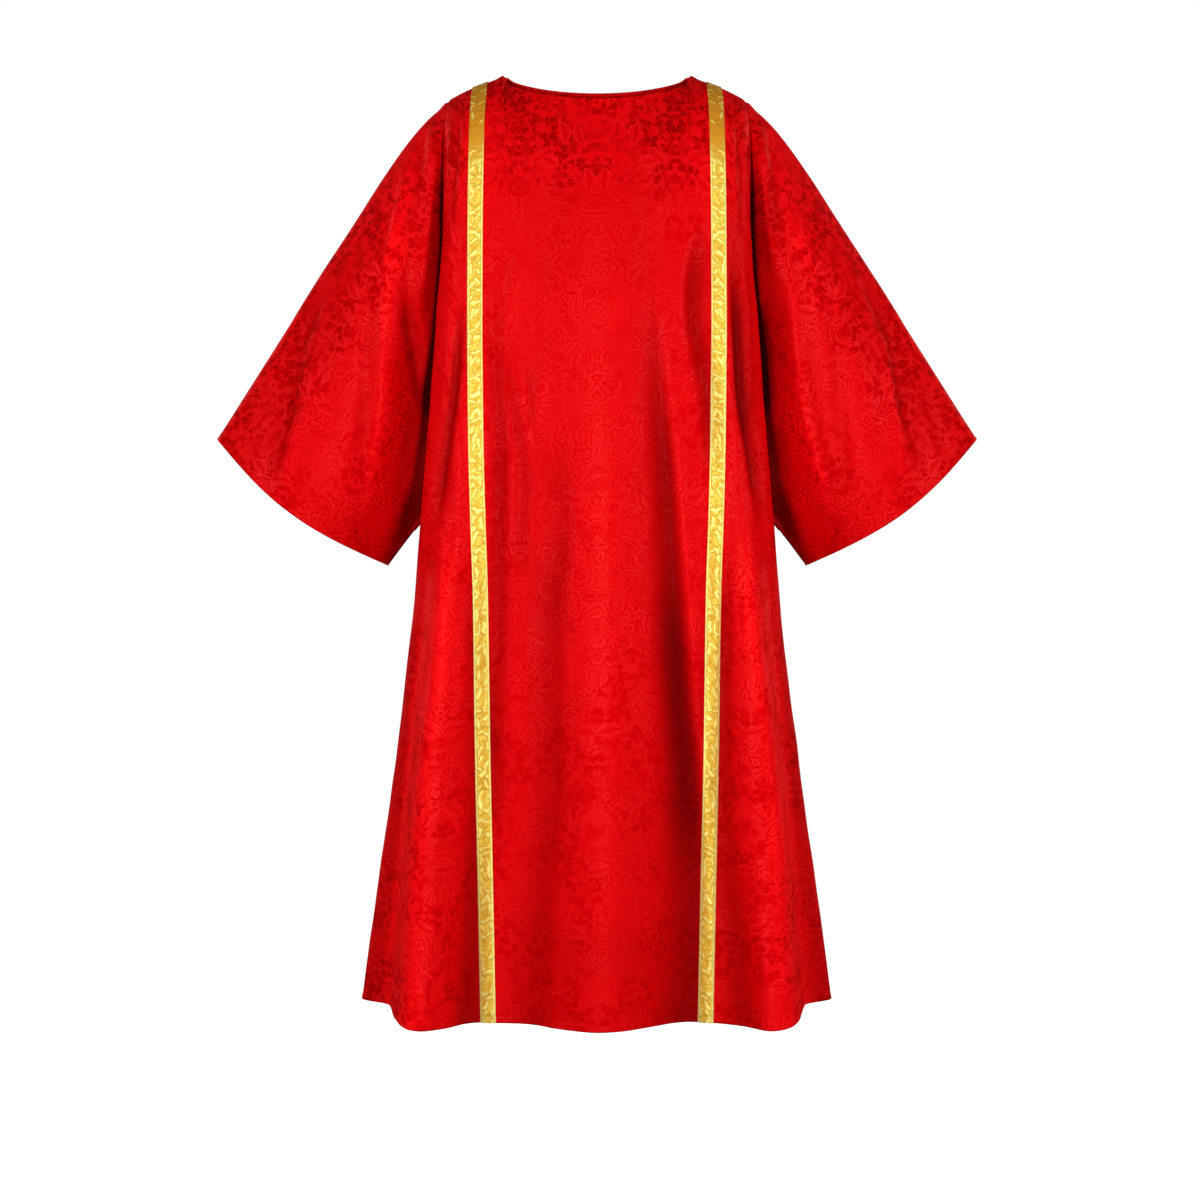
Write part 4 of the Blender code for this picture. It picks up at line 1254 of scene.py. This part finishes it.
def use(group, tree=None, **values):
    """A node group placed in a material or in another group. An underscore stands for a space."""
    values = {key.replace("_", " "): value for key, value in values.items()}
    return node("Group", values, tree, node_tree=group)


# %% [markdown]
# ## Leaf and blossom
# Damask is one colour of thread woven in two ways, and the figure shows only by how it takes the light.
# The figure is a dense growth of small leaves, blossoms and berries. Two groups measure a place against
# one leaf and against one blossom. The depth is above zero inside the shape and falls steadily away
# from it, so that lines of equal depth are outlines nested in one another.

# %% Shapes of the figure
LEAF_BEND = 0.55         # share of the half width by which the rib is bent
PETAL_DEPTH = 0.32       # share of the radius that lies between two petals


def leaf_recipe(given):
    """How deep a place lies in a leaf with a bent middle rib, and how far from the rib."""
    place = node("SeparateXYZ", {0: given["Place"]})
    along = place[0] / given["Half length"]
    square = along * along
    aside = abs(place[1] - square * given["Half width"] * LEAF_BEND)
    return {"Depth": given["Half width"] * (1.0 - square) - aside, "Aside": aside}


def blossom_recipe(given):
    """How deep a place lies in a blossom with round petals."""
    place = node("SeparateXYZ", {0: given["Place"]})
    radius = node("VectorMath", {0: given["Place"]}, operation="LENGTH")["Value"]
    angle = maths("ARCTAN2", place[1], place[0])
    wave = abs(maths("COSINE", angle * (given["Petals"] * 0.5)))
    return {"Depth": given["Radius"] * (wave * PETAL_DEPTH + (1.0 - PETAL_DEPTH)) - radius}


LEAF = new_group("leaf", {"Place": "Vector", "Half length": "Float", "Half width": "Float"}, leaf_recipe)
BLOSSOM = new_group("blossom", {"Place": "Vector", "Radius": "Float", "Petals": "Float"}, blossom_recipe)

# %% [markdown]
# ## The damask figure
# The cloth is divided into irregular cells, each with one leaf or one blossom. Nested outlines fill the
# space between them, as on the real cloth. Clusters of berries and a few broad plain leaves lie on top.
# The places are first mirrored again and again across the width, as on a real loom, where one set of
# cords draws each half of the figure. They are then pushed about softly, so that no two repeats look
# stamped. Sizes are metres on the cloth, and chances run from 0 to 1.

# %% Sizes of the figure
FIGURE_HALF_WIDTH = 0.112            # the figure is mirrored at this distance
# Swells in a metre, and how far they push the figure about.
STRAY = (11.0, 0.020)
MOTIF_TREMBLE = (70.0, 0.0070)
BERRY_TREMBLE = (70.0, 0.0035)
# Cells in a metre, and a shift that gives each layer chances of its own.
MOTIF_CELLS = (46.0, (3.0, 2.1, 0.0))
SEED_CELLS = (130.0, (2.0, 9.3, 0.0))
PAD_CELLS = (27.0, (7.0, 5.9, 0.0))
BERRY_CELLS = (88.0, (11.0, 7.7, 0.0))
# Half length and half width of a leaf, then a blossom's radius, or its least radius and its spread.
MOTIF_LEAF = {"Half_length": 0.0110, "Half_width": 0.0054}
PAD_LEAF = {"Half_length": 0.0155, "Half_width": 0.0075}
MOTIF_RADIUS = 0.0076
SEED_RADIUS = (0.0018, 0.0016)
BERRY_RADIUS = (0.0034, 0.0034)
# Petals of each blossom. The motif has 4 to 7.
MOTIF_PETALS = (4.0, 3.0)
SEED_PETALS, BERRY_PETALS = 4.0, 3.0
# The chance above which a cell holds a blossom, is filled, or is kept.
BLOSSOM_FROM, FILLED_FROM, SEED_FROM, PAD_FROM, BERRY_FROM = 0.50, 0.52, 0.64, 0.74, 0.30
# Outlines repeat at a pitch. Middle, half width and softness of each line, as shares of the pitch.
OUTLINE_PITCH = 0.0066
OUTLINE_START = 10.5
OUTLINE = (0.5, 0.15, 0.14)
RIM = (0.80, 0.13, 0.09)
PAD_RIB = (0.0, 0.0009, 0.0005)      # these two in metres
PAD_RIM = (-0.0002, 0.0010, 0.0006)
# How strongly each part is drawn.
OUTLINE_DARK, FILL_DARK, SHADE_DARK, RIB_DARK, RIM_LOSS = 0.55, 0.6, 0.62, 0.7, 0.65
# Depths at which an edge starts and ends.
FILL_EDGE, SEED_EDGE, BERRY_EDGE = (0.0002, 0.0010), (-0.0006, 0.0006), (-0.0013, 0.0011)
PAD_EDGE, RIB_EDGE = (-0.0006, 0.0004), (0.0004, 0.0012)
# Fields of chance: swells in a metre and their detail, and the values between which they fade in.
SHADE_FIELD, SHADE_EDGE = (75.0, 2.0), (0.49, 0.58)
CLUSTER_FIELD, CLUSTER_EDGE = (16.0, 0.0), (-0.02, 0.02)
PATCH_FIELD, PATCH_EDGE = (15.0, 1.0), (0.34, 0.60)
PATCH_DRAWN = (0.5, 0.5)             # how far the figure is drawn at least, and what a patch adds
print("motifs in a square metre:", round(MOTIF_CELLS[0] ** 2))

# %% [markdown]
# Both the damask and the braid are grown from the same two steps: a place is pushed about, and then
# looked at from within its own irregular cell.

# %% Pushing and cells
FULL_TURN = 6.283
CELL_FREEDOM = 0.9       # how irregular the cells are


def pushed(place, by, scale, amount):
    """Places moved about softly, as far as the amount."""
    shift = vectors("SUBTRACT", noise(by, scale, 1.0)["Color"], (0.5, 0.5, 0.5))
    return vectors("ADD", place, vectors("SCALE", shift, amount))


def cell(place, scale, shift):
    """The place within an irregular cell, turned by chance, and three chances of the cell."""
    moved = vectors("ADD", place, shift)
    cells = node("TexVoronoi", {"Vector": moved, "Scale": scale, "Randomness": CELL_FREEDOM},
                 voronoi_dimensions="2D", feature="F1")
    chance = node("SeparateColor", {0: cells["Color"]})
    local = vectors("SUBTRACT", moved, cells["Position"])
    turned = node("VectorRotate", {"Vector": local, "Angle": chance[0] * FULL_TURN}, rotation_type="Z_AXIS")
    return turned, chance


# %% [markdown]
# Now the figure is drawn from its layers: motifs with their outlines, seeds, plain leaves and berries.
# Where the clusters of berries reach, they replace the motifs.

# %% Damask figure
def varied(chance, least, spread):
    """A value that grows with chance, from the least by as much as the spread."""
    return chance * spread + least


def damask_recipe(given):
    """Where the figure is drawn, and where its pale outlines run."""
    place = node("SeparateXYZ", {0: given["Place"]})
    straight = node("CombineXYZ", {0: maths("PINGPONG", place[0], FIGURE_HALF_WIDTH), 1: place[1]})
    straight = pushed(straight, given["Place"], *STRAY)
    grown = pushed(straight, given["Place"], *BERRY_TREMBLE)
    spot = pushed(straight, given["Place"], *MOTIF_TREMBLE)

    # One leaf or one blossom in each cell, with outlines nested round it.
    motif, chance = cell(spot, *MOTIF_CELLS)
    petals = maths("ROUND", chance[2] * MOTIF_PETALS[1]) + MOTIF_PETALS[0]
    blossom = use(BLOSSOM, Place=motif, Radius=MOTIF_RADIUS, Petals=petals)
    depth = between(chance[1] > BLOSSOM_FROM, use(LEAF, Place=motif, **MOTIF_LEAF)["Depth"], blossom["Depth"])
    phase = maths("FRACT", depth / OUTLINE_PITCH + OUTLINE_START)
    outline = ring(phase, *OUTLINE) * OUTLINE_DARK
    filled = step_up(depth, *FILL_EDGE) * ((chance[2] > FILLED_FROM) * FILL_DARK)

    # Small seeds between the motifs.
    seed_place, seed_chance = cell(grown, *SEED_CELLS)
    seed = use(BLOSSOM, Place=seed_place, Radius=varied(seed_chance[2], *SEED_RADIUS), Petals=SEED_PETALS)
    seeds = step_up(seed["Depth"], *SEED_EDGE) * (seed_chance[1] > SEED_FROM)
    drawn = larger(larger(outline, filled), seeds)

    # A few broad plain leaves, with a rib and a pale rim.
    pad_place, pad_chance = cell(spot, *PAD_CELLS)
    pad = use(LEAF, Place=pad_place, **PAD_LEAF)
    is_pad = pad_chance[1] > PAD_FROM
    plain = 1.0 - step_up(pad["Depth"], *PAD_EDGE) * is_pad
    rib = ring(pad["Aside"], *PAD_RIB) * step_up(pad["Depth"], *RIB_EDGE)
    pad_rim = ring(pad["Depth"], *PAD_RIM) * is_pad

    # Clusters of berries, dark because they are woven densely.
    berry_place, berry_chance = cell(grown, *BERRY_CELLS)
    radius = varied(berry_chance[2], *BERRY_RADIUS)
    berry = use(BLOSSOM, Place=berry_place, Radius=radius, Petals=BERRY_PETALS)
    berries = step_up(berry["Depth"], *BERRY_EDGE) * (berry_chance[1] > BERRY_FROM)
    berries = larger(berries, step_up(noise(spot, *SHADE_FIELD), *SHADE_EDGE) * SHADE_DARK)

    where = step_up(noise(given["Place"], *CLUSTER_FIELD) + (given["Clusters"] - 1.0), *CLUSTER_EDGE)
    patchy = varied(step_up(noise(given["Place"], *PATCH_FIELD), *PATCH_EDGE), *PATCH_DRAWN)
    figure = between(where, drawn, berries) * plain * patchy
    line = larger(ring(phase, *RIM) * plain * (1.0 - where * RIM_LOSS), pad_rim)
    return {"Figure": larger(figure, rib * (is_pad * RIB_DARK)), "Line": line * patchy}


DAMASK = new_group("damask_figure", {"Place": "Vector", "Clusters": "Float"}, damask_recipe)

# %% [markdown]
# ## Threads
# Close up the cloth is woven of fine round threads. They run down the cloth in the ground and across it
# in the figure, so the tiny normals lean the other way there.

# %% Thread normals
THREAD_PITCH = 0.00052


def thread_recipe(given):
    """A normal that leans to and fro over each thread."""
    place = node("SeparateXYZ", {0: given["Place"]})

    def lean(position, share):
        wave = maths("SINE", position * (2.0 * math.pi / THREAD_PITCH))
        return wave * given["Lean"] * share * 0.5 + 0.5

    across, down = lean(place[0], given["Figure"]), lean(place[1], 1.0 - given["Figure"])
    colour = node("CombineColor", {0: across, 1: down, 2: 1.0})
    return {"Normal": node("NormalMap", {"Color": colour, "Strength": 1.0}, uv_map="cloth")}


THREADS = new_group("threads", {"Place": "Vector", "Figure": "Float", "Lean": "Float"}, thread_recipe)
print("thread pitch, mm:", round(THREAD_PITCH / MM, 2))

# %% [markdown]
# ## Uneven dye, painted shade, and zones of the figure
# No dyed cloth is quite even. The same group also paints shade: it darkens the bottoms of the creases
# and the seam valleys, where little light comes in, and it paints the crests paler, a painted highlight.
# The zones say where the figure is drawn most strongly and where its berry clusters lie: both show
# most on the chest, on the shoulders and low on the skirt.

# %% Tone and wear
DYE_FIELD = (7.0, 3.0)
DARKEST_PAINTED_SHADE = 0.07
# Where each zone starts and ends: aside from the middle, or down from the shoulders, in metres.
SIDE_ZONE, LOWER_ZONE, LOW_ZONE, BESIDE_ZONE = (0.12, 0.26), (0.35, 0.80), (0.60, 0.90), (0.06, 0.13)
CHEST_ZONE = (-0.21, -0.13)          # heights, and further out the zone follows the sleeve's slope
SLEEVE_FROM, SLEEVE_SLOPE = 0.20, 1.46
# How crisp the figure is everywhere, and what each zone adds.
CRISP_ALL, CRISP_CHEST, CRISP_SIDE, CRISP_LOWER = 0.30, 0.70, 0.30, 0.15
CLUSTERS_LOW, CLUSTERS_BESIDE = 0.55, 0.47


def dye_and_shade_recipe(given):
    """Uneven dye at random, times the painted shade of the creases and seam valleys."""
    tree = given.made.id_data
    place = node("TexCoord", tree=tree)["Object"]
    uneven = (noise(place, *DYE_FIELD, "3D") - 0.5) * given["Spread"] + 1.0
    painted_shade = node("Attribute", tree=tree, attribute_name="painted_shade")["Fac"]
    return {"Dye and shade": uneven * larger(1.0 - painted_shade * given["Hollow shade"], DARKEST_PAINTED_SHADE)}


def zones_recipe(given):
    """How strongly the figure is drawn, and where its berry clusters lie."""
    place = node("SeparateXYZ", {0: node("TexCoord", tree=given.made.id_data)["Object"]})
    aside, drop = abs(place[0]), 0.0 - place[2]
    chest = step_up(larger(aside - SLEEVE_FROM, 0.0) * SLEEVE_SLOPE - drop, *CHEST_ZONE)
    crispness = chest * CRISP_CHEST + step_up(aside, *SIDE_ZONE) * CRISP_SIDE
    crispness = crispness + (step_up(drop, *LOWER_ZONE) * CRISP_LOWER + CRISP_ALL)
    low = step_up(drop, *LOW_ZONE) * CLUSTERS_LOW
    beside = step_up(aside, *BESIDE_ZONE) * CLUSTERS_BESIDE
    return {"Crispness": maths("MINIMUM", crispness, 1.0), "Clusters": larger(chest, larger(low, beside))}


DYE_AND_SHADE = new_group("tone", {"Spread": "Float", "Hollow shade": "Float"}, dye_and_shade_recipe)
ZONES = new_group("zones", {}, zones_recipe)

# %% [markdown]
# ## Materials
# A material is one shader. What is the same all over the cloth is a constant on the shader, and what
# changes from place to place is linked to it by the material's recipe. Three small helpers are shared by
# the cloth and the braid: where a place lies on the flat cloth, a colour with the uneven dye and the
# painted shade, and a bump.

# %% Material helpers
def new_material(name, fixed, build):
    """A material: constants set on its shader, and what its recipe links to the shader."""
    material = bpy.data.materials.new(name)
    material.use_nodes = True
    tree = material.node_tree
    shader = tree.nodes["Principled BSDF"]
    for key, value in fixed.items():
        shader.inputs[key].default_value = value
    for key, value in build(tree).items():
        tree.links.new(value.socket, shader.inputs[key])
    return material


def flat_place(tree):
    """Where a place lies on the flat cloth."""
    return node("UVMap", tree=tree, uv_map="cloth")


def dyed_and_shaded(colour, tree, spread, painted_shade_strength):
    """A colour with the uneven dye and the painted shade, and that factor."""
    tone = use(DYE_AND_SHADE, tree, Spread=spread, Hollow_shade=painted_shade_strength)["Dye and shade"]
    return node("VectorMath", {0: colour, "Scale": tone}, operation="SCALE"), tone


def bumped(height, normal, strength, distance):
    """A normal raised by a height."""
    return node("Bump", {"Height": height, "Normal": normal, "Strength": strength, "Distance": distance})


# %% [markdown]
# ## Red damask
# The dye is a deep pure red. Silky threads reflect in their own colour, so the shine is given as partly
# metallic. The ground is woven so that its shine is broad, and the figure so that its shine is narrow.
# Where the cloth faces the light they look alike, and where it leans away the figure turns dark. The
# lining is a plain weave of the same dye.

# %% Damask finish
RED = (0.80, 0.0011, 0.0030, 1.0)
RED_FIGURE = (0.43, 0.0004, 0.0012, 1.0)
RED_LINE = (0.97, 0.006, 0.009, 1.0)
RED_LINING = (0.52, 0.002, 0.004)
GROUND_ROUGHNESS = 0.74
FIGURE_ROUGHNESS = 0.56
SILK_SHINE, SILK_CHANGE = 0.080, 0.14    # the clear shine on top, and how the figure changes it
LINE_STRENGTH, LINE_SHINE, LINE_RISE = 0.7, 0.9, 0.8


def damask_finish(tree):
    """The two weaves of the damask."""
    place = flat_place(tree)
    zones = use(ZONES, tree)
    pattern = use(DAMASK, Place=place, Clusters=zones["Clusters"])
    figure, line = pattern["Figure"] * zones["Crispness"], pattern["Line"] * zones["Crispness"]
    colour = mixed(line * LINE_STRENGTH, mixed(figure, RED, RED_FIGURE), RED_LINE)
    colour, tone = dyed_and_shaded(colour, tree, spread=0.20, painted_shade_strength=0.75)
    glint = pattern["Line"] * LINE_SHINE - pattern["Figure"]
    threads = use(THREADS, Place=place, Figure=figure, Lean=0.16)
    # The clear shine is dimmed by the painted shade too, in the creases and seam valleys.
    return {"Base Color": colour, "Roughness": between(figure, GROUND_ROUGHNESS, FIGURE_ROUGHNESS),
            "Coat Weight": maths("MULTIPLY_ADD", glint, SILK_CHANGE, SILK_SHINE, clamp=True) * tone,
            "Normal": bumped(line * LINE_RISE - figure, threads["Normal"], strength=0.30, distance=0.0003)}


def lining_finish(tree):
    """The plain weave inside."""
    threads = use(THREADS, Place=flat_place(tree), Figure=0.5, Lean=0.5)
    colour, _ = dyed_and_shaded(RED_LINING, tree, spread=0.2, painted_shade_strength=0.3)
    return {"Base Color": colour, "Normal": threads["Normal"]}


damask_red = new_material("red_damask", {
    "Metallic": 0.45, "Specular IOR Level": 0.02, "Specular Tint": (1.0, 0.12, 0.12, 1.0),
    "Coat Roughness": 0.42, "Coat IOR": 1.4,
}, damask_finish)
lining = new_material("red_lining", {
    "Metallic": 0.2, "Specular IOR Level": 0.02, "Roughness": 0.6,
}, lining_finish)
print("cloth finishes:", damask_red.name, "and", lining.name)

# %% [markdown]
# ## Gold brocade
# The braid is woven with bright yellow silk over an ochre ground, as a vine whose leaves touch both
# borders. Each leaf is painted light on one half, a painted highlight, and darker ochre on the other,
# a painted shade, as on a raised leaf. Near the shoulder, where the braid turns up over the ridge, it
# has painted shade: plain darker ochre with only a few painted highlights. Lower down more and more
# ochre is laid on, so the braid grows darker towards the hem. The borders are plain and bright, and
# near the shoulder the painted shade dims them.

# %% Brocade figure
BROCADE_TREMBLE = (70.0, 0.010)      # as in the table of the damask
BROCADE_CELLS = (82.0, (5.0, 1.3, 0.0))
BROCADE_LEAF = {"Half_length": 0.0078, "Half_width": 0.0040}
# The second pair splits each leaf into a painted highlight half and a painted shade half; the third sets
# where a painted highlight mark starts inside a leaf.
LEAF_EDGE, HALF_EDGE, HIGHLIGHT_EDGE = (-0.0003, 0.0007), (-0.0005, 0.0005), (0.0012, 0.0020)
LEAF_LINE = (-0.0006, 0.0008, 0.0007)
VINE_FIELD, VINE_LINE = (90.0, 1.0), (0.5, 0.04, 0.035)
OCHRE_FIELD, OCHRE_EDGE = (45.0, 2.0), (0.50, 0.70)
SHADED_TOP_ZONE, FILLED_ZONE = (0.12, 0.19), (0.50, 0.95)     # metres from the shoulder: where the painted shade on top ends, and where more ochre is laid low down
BORDER_EDGE = (0.0076, 0.0086)                           # metres from the middle of the braid
SEWN_LINE = (0.0075, 0.0006, 0.0005)
# The chance above which a leaf near the shoulder gets a painted highlight mark.
HIGHLIGHT_FROM = 0.45
# The first is how dark the painted shade on one half of each leaf is; the fourth is how far a painted
# highlight clears the ochre near the shoulder, and the fifth how far the painted shade there dims the
# borders.
SHADED_HALF_DARK, FIGURE_OCHRE, SHADE_OCHRE, HIGHLIGHT_LOSS, BORDER_TOP_SHADE, SEWN_OCHRE = 0.45, 0.66, 0.22, 0.7, 0.75, 0.5
FILLED_GAIN = 0.10       # how much more ochre there is low down


def brocade_recipe(given):
    """Where the ochre shows, where the pale borders and the painted highlights lie, where the top has painted
    shade, and what stands up from the braid.
    """
    place = node("SeparateXYZ", {0: given["Place"]})
    from_middle, from_top = abs(place[0]), abs(place[1])
    spot = pushed(given["Place"], given["Place"], *BROCADE_TREMBLE)
    leaf_place, chance = cell(spot, *BROCADE_CELLS)
    depth = use(LEAF, Place=leaf_place, **BROCADE_LEAF)["Depth"]
    inside = step_up(depth, *LEAF_EDGE)
    # One half of each leaf is painted light, a painted highlight, and the other half darker ochre, a painted
    # shade, as on a raised leaf.
    half = step_up(node("SeparateXYZ", {0: leaf_place})[1], *HALF_EDGE)
    light, dark = inside * half, inside * (1.0 - half) * SHADED_HALF_DARK
    vine = ring(noise(spot, *VINE_FIELD), *VINE_LINE) * (1.0 - inside)
    shade = noise(given["Place"], *OCHRE_FIELD) + step_up(from_top, *FILLED_ZONE) * FILLED_GAIN
    drawn = larger(larger(ring(depth, *LEAF_LINE), dark), vine)
    ochre = maths("ADD", step_up(shade, *OCHRE_EDGE) * SHADE_OCHRE, drawn * FIGURE_OCHRE, clamp=True)
    # Near the shoulder, where the braid turns up over the ridge, it gets painted shade: plain darker ochre
    # with a few painted highlight marks, and dimmer borders.
    upper = 1.0 - step_up(from_top, *SHADED_TOP_ZONE)
    highlight_mark = light * step_up(depth, *HIGHLIGHT_EDGE) * (chance[1] > HIGHLIGHT_FROM)
    ochre = between(upper, ochre, 1.0 - highlight_mark * HIGHLIGHT_LOSS)
    edge = step_up(from_middle, *BORDER_EDGE) * (1.0 - upper * BORDER_TOP_SHADE)
    sewn = ring(from_middle, *SEWN_LINE) * SEWN_OCHRE
    return {"Ochre": larger(ochre * (1.0 - edge), sewn), "Light": larger(edge, between(upper, light, highlight_mark)),
            "Shaded top": upper * (1.0 - highlight_mark), "Raised": inside - vine}


BROCADE = new_group("brocade_figure", {"Place": "Vector"}, brocade_recipe)

# %% [markdown]
# The braid's colours are laid on in order: the yellow first, the pale borders and the painted highlights
# next, then the ochre over both, and last the darker ochre of the painted shade near the shoulder.

# %% Brocade finish
YELLOW = (0.93, 0.67, 0.085, 1.0)
# The pale yellow of the borders and of the painted highlights.
YELLOW_BORDER_AND_HIGHLIGHT = (1.0, 0.93, 0.26, 1.0)
OCHRE = (0.74, 0.36, 0.020, 1.0)
# The darker ochre of the painted shade near the shoulder.
OCHRE_SHADED_TOP = (0.68, 0.28, 0.016, 1.0)
YELLOW_ROUGHNESS = 0.50
OCHRE_ROUGHNESS = 0.60


def brocade_finish(tree):
    """Yellow silk over ochre."""
    place = flat_place(tree)
    pattern = use(BROCADE, Place=place)
    colour = mixed(pattern["Light"], YELLOW, YELLOW_BORDER_AND_HIGHLIGHT)
    colour = mixed(pattern["Shaded top"], mixed(pattern["Ochre"], colour, OCHRE), OCHRE_SHADED_TOP)
    colour, _ = dyed_and_shaded(colour, tree, spread=0.12, painted_shade_strength=0.2)
    threads = use(THREADS, Place=place, Figure=pattern["Ochre"], Lean=0.22)
    return {"Base Color": colour,
            "Roughness": between(pattern["Ochre"], YELLOW_ROUGHNESS, OCHRE_ROUGHNESS),
            "Normal": bumped(pattern["Raised"], threads["Normal"], strength=0.6, distance=0.0006)}


brocade = new_material("gold_brocade", {"Metallic": 0.35, "Specular IOR Level": 0.10}, brocade_finish)
print("braid finish:", brocade.name)

# %% [markdown]
# ## Sewing threads
# The thread is red on the damask and dull gold on the braid. It is twisted, which shows as fine slanting
# stripes.

# %% Thread finish
RED_THREAD = (0.56, 0.0015, 0.003)
GOLD_THREAD = (0.62, 0.36, 0.05)
TWISTS = 420.0           # gives a stripe about every 1.5 mm
TWIST_TONE = (0.8, 0.3)  # tone between two stripes, and what a stripe adds
TWIST_ROUGHNESS = (0.5, 0.1)


def thread_finish(colour):
    """The recipe of a twisted thread in one colour."""
    def finish(tree):
        place = node("TexCoord", tree=tree)["Object"]
        twist = node("TexWave", {"Vector": place, "Scale": TWISTS, "Distortion": 1.0},
                     bands_direction="DIAGONAL")["Fac"]
        return {"Base Color": vectors("SCALE", colour, varied(twist, *TWIST_TONE)),
                "Roughness": varied(twist, *TWIST_ROUGHNESS),
                "Normal": node("Bump", {"Height": twist, "Strength": 0.5, "Distance": 0.0001})}
    return finish


red_thread, gold_thread = [
    new_material(name, {"Metallic": 0.2, "Specular IOR Level": 0.1}, thread_finish(colour))
    for name, colour in (("red_thread", RED_THREAD), ("gold_thread", GOLD_THREAD))]
print("thread finishes:", red_thread.name, "and", gold_thread.name)

# %% [markdown]
# Now each piece gets its finishes. Of two, the first covers the outside of a wall of cloth, and the
# second its inside, where the lining shows.

# %% Dressing the pieces
FINISHES = (
    (damask.values(), (damask_red, lining)),
    ([item for item, *_ in sleeves.values()], (damask_red, lining)),
    ([neck_roll], (damask_red,)),
    ([item for item, *_ in braids.values()], (brocade, lining)),
    ([item for name, item in stitches.items() if "braid" in name], (gold_thread,)),
    ([item for name, item in stitches.items() if "braid" not in name], (red_thread,)),
)
for pieces, finishes in FINISHES:
    for piece in pieces:
        for finish in finishes:
            piece.data.materials.append(finish)
print("materials:", sorted(m.name for m in bpy.data.materials))

# %% [markdown]
# ## Room
# A pale floor and a white room keep the eye on the cloth. The white is only what the camera sees: red
# silk soon turns pink in strong light, so the room itself lights the cloth faintly.

# %% Room
FLOOR_DROP = 1.49        # where the wearer would stand
FLOOR_SIZE = 5.5
FLOOR_GREY = (0.18, 0.18, 0.18, 1.0)
FLOOR_GLOW = 0.95        # seen by the camera only
ROOM_SEEN = 1.0
ROOM_FILL = 0.16
WHITE = (1.0, 1.0, 1.0, 1.0)

scene = bpy.context.scene
scene.view_settings.view_transform = "Standard"
world = bpy.data.worlds.new("studio")
world.use_nodes = True
scene.world = world
room = world.node_tree
room.nodes.remove(room.nodes["Background"])
fill = node("Background", {"Color": WHITE, "Strength": ROOM_FILL}, tree=room)
seen = node("Background", {"Color": WHITE, "Strength": ROOM_SEEN}, tree=room)
camera_ray = node("LightPath", tree=room)["Is Camera Ray"]
blend = node("MixShader", {0: camera_ray, 1: fill, 2: seen})
room.links.new(blend.socket, room.nodes["World Output"].inputs["Surface"])

bpy.ops.object.select_all(action="DESELECT")
bpy.ops.mesh.primitive_plane_add(size=FLOOR_SIZE, location=(0.0, 0.0, -FLOOR_DROP))
floor = bpy.context.object
floor.name = "floor"
floor.data.materials.append(new_material(
    "pale_floor", {"Base Color": FLOOR_GREY, "Roughness": 0.9, "Emission Color": WHITE},
    lambda tree: {"Emission Strength": node("LightPath", tree=tree)["Is Camera Ray"] * FLOOR_GLOW}))
print("floor at", -FLOOR_DROP)

# %% [markdown]
# ## Light
# One broad soft light stands in front, near the height of the camera. Two at the sides keep the sleeves
# and the flares from going black, and three more do the same for the back.

# %% Lights
AIM = (0.0, 0.0, -0.5)
BROAD, TALL = (1.7, 1.0), (1.2, 1.8)
# Name, place, size and power in watts.
LIGHTS = (
    ("front_light", (-0.1, -2.6, -0.38), BROAD, 40.0),
    ("left_light", (-3.0, -2.0, 0.5), TALL, 41.0),
    ("right_light", (3.0, -2.0, 0.5), TALL, 47.0),
    ("back_light", (0.1, 2.8, -0.38), BROAD, 38.0),
    ("back_left_light", (-3.0, 2.2, 0.5), TALL, 34.0),
    ("back_right_light", (3.0, 2.2, 0.5), TALL, 34.0),
)
for name, place, size, power in LIGHTS:
    dx, dy, dz = [a - p for a, p in zip(AIM, place)]
    turn = (math.pi / 2 + math.atan2(dz, math.hypot(dx, dy)), 0.0, math.atan2(-dx, dy))
    bpy.ops.object.light_add(type="AREA", location=place, rotation=turn)
    lamp = bpy.context.object
    lamp.name = name
    lamp.data.shape = "RECTANGLE"
    lamp.data.size, lamp.data.size_y = size
    lamp.data.energy = power

# %% [markdown]
# ## Tying the pieces to the solid model
# Each piece moves with the garment's one body, and stands for the solid that it replaces. Each piece of
# cloth also says how large it was cut, so that its size can be checked against the cloth that hangs.

# %% Pieces, solids and sheets
FRONT, BACK = damask.values()
# Piece, solid, slot, flat size, flat area, how it is held, what it rests on, and its stitches.
SHEETS = [
    (FRONT, "front_panel", "red_damask", (1.09, 1.31), 0.915, "hung", [BACK], stitches["hem_front"]),
    (BACK, "back_panel", "red_damask", (0.96, 1.30), 0.845, "hung", [FRONT], stitches["hem_back"]),
]
for hand in HANDS:
    SHEETS.append((sleeves[hand][0], "sleeve_" + hand, "red_damask", (0.72, 0.57), 0.255, "hung",
                   [FRONT, BACK], stitches["cuff_" + hand]))
for hand in HANDS:
    SHEETS.append((braids[hand][0], "band_" + hand, "gold_brocade", (0.020, 2.60), 0.052, "laid",
                   [FRONT, BACK], stitches["braid_" + hand]))
SHEETS.append((neck_roll, "neck_binding", "red_damask", (0.73, 0.010), 0.0073, "folded",
               [FRONT, BACK], stitches["neck"]))

for piece, solid, slot, flat, area, held, rests_on, sewn in SHEETS:
    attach(piece, BODY)
    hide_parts(solid)
    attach(sewn, BODY)
    hangs = sum(face.area for face in piece.data.polygons) / 2.0
    print(piece.name, "hangs as", round(hangs, 4), "m2, cut", area, "in", len(piece.data.polygons), "faces")
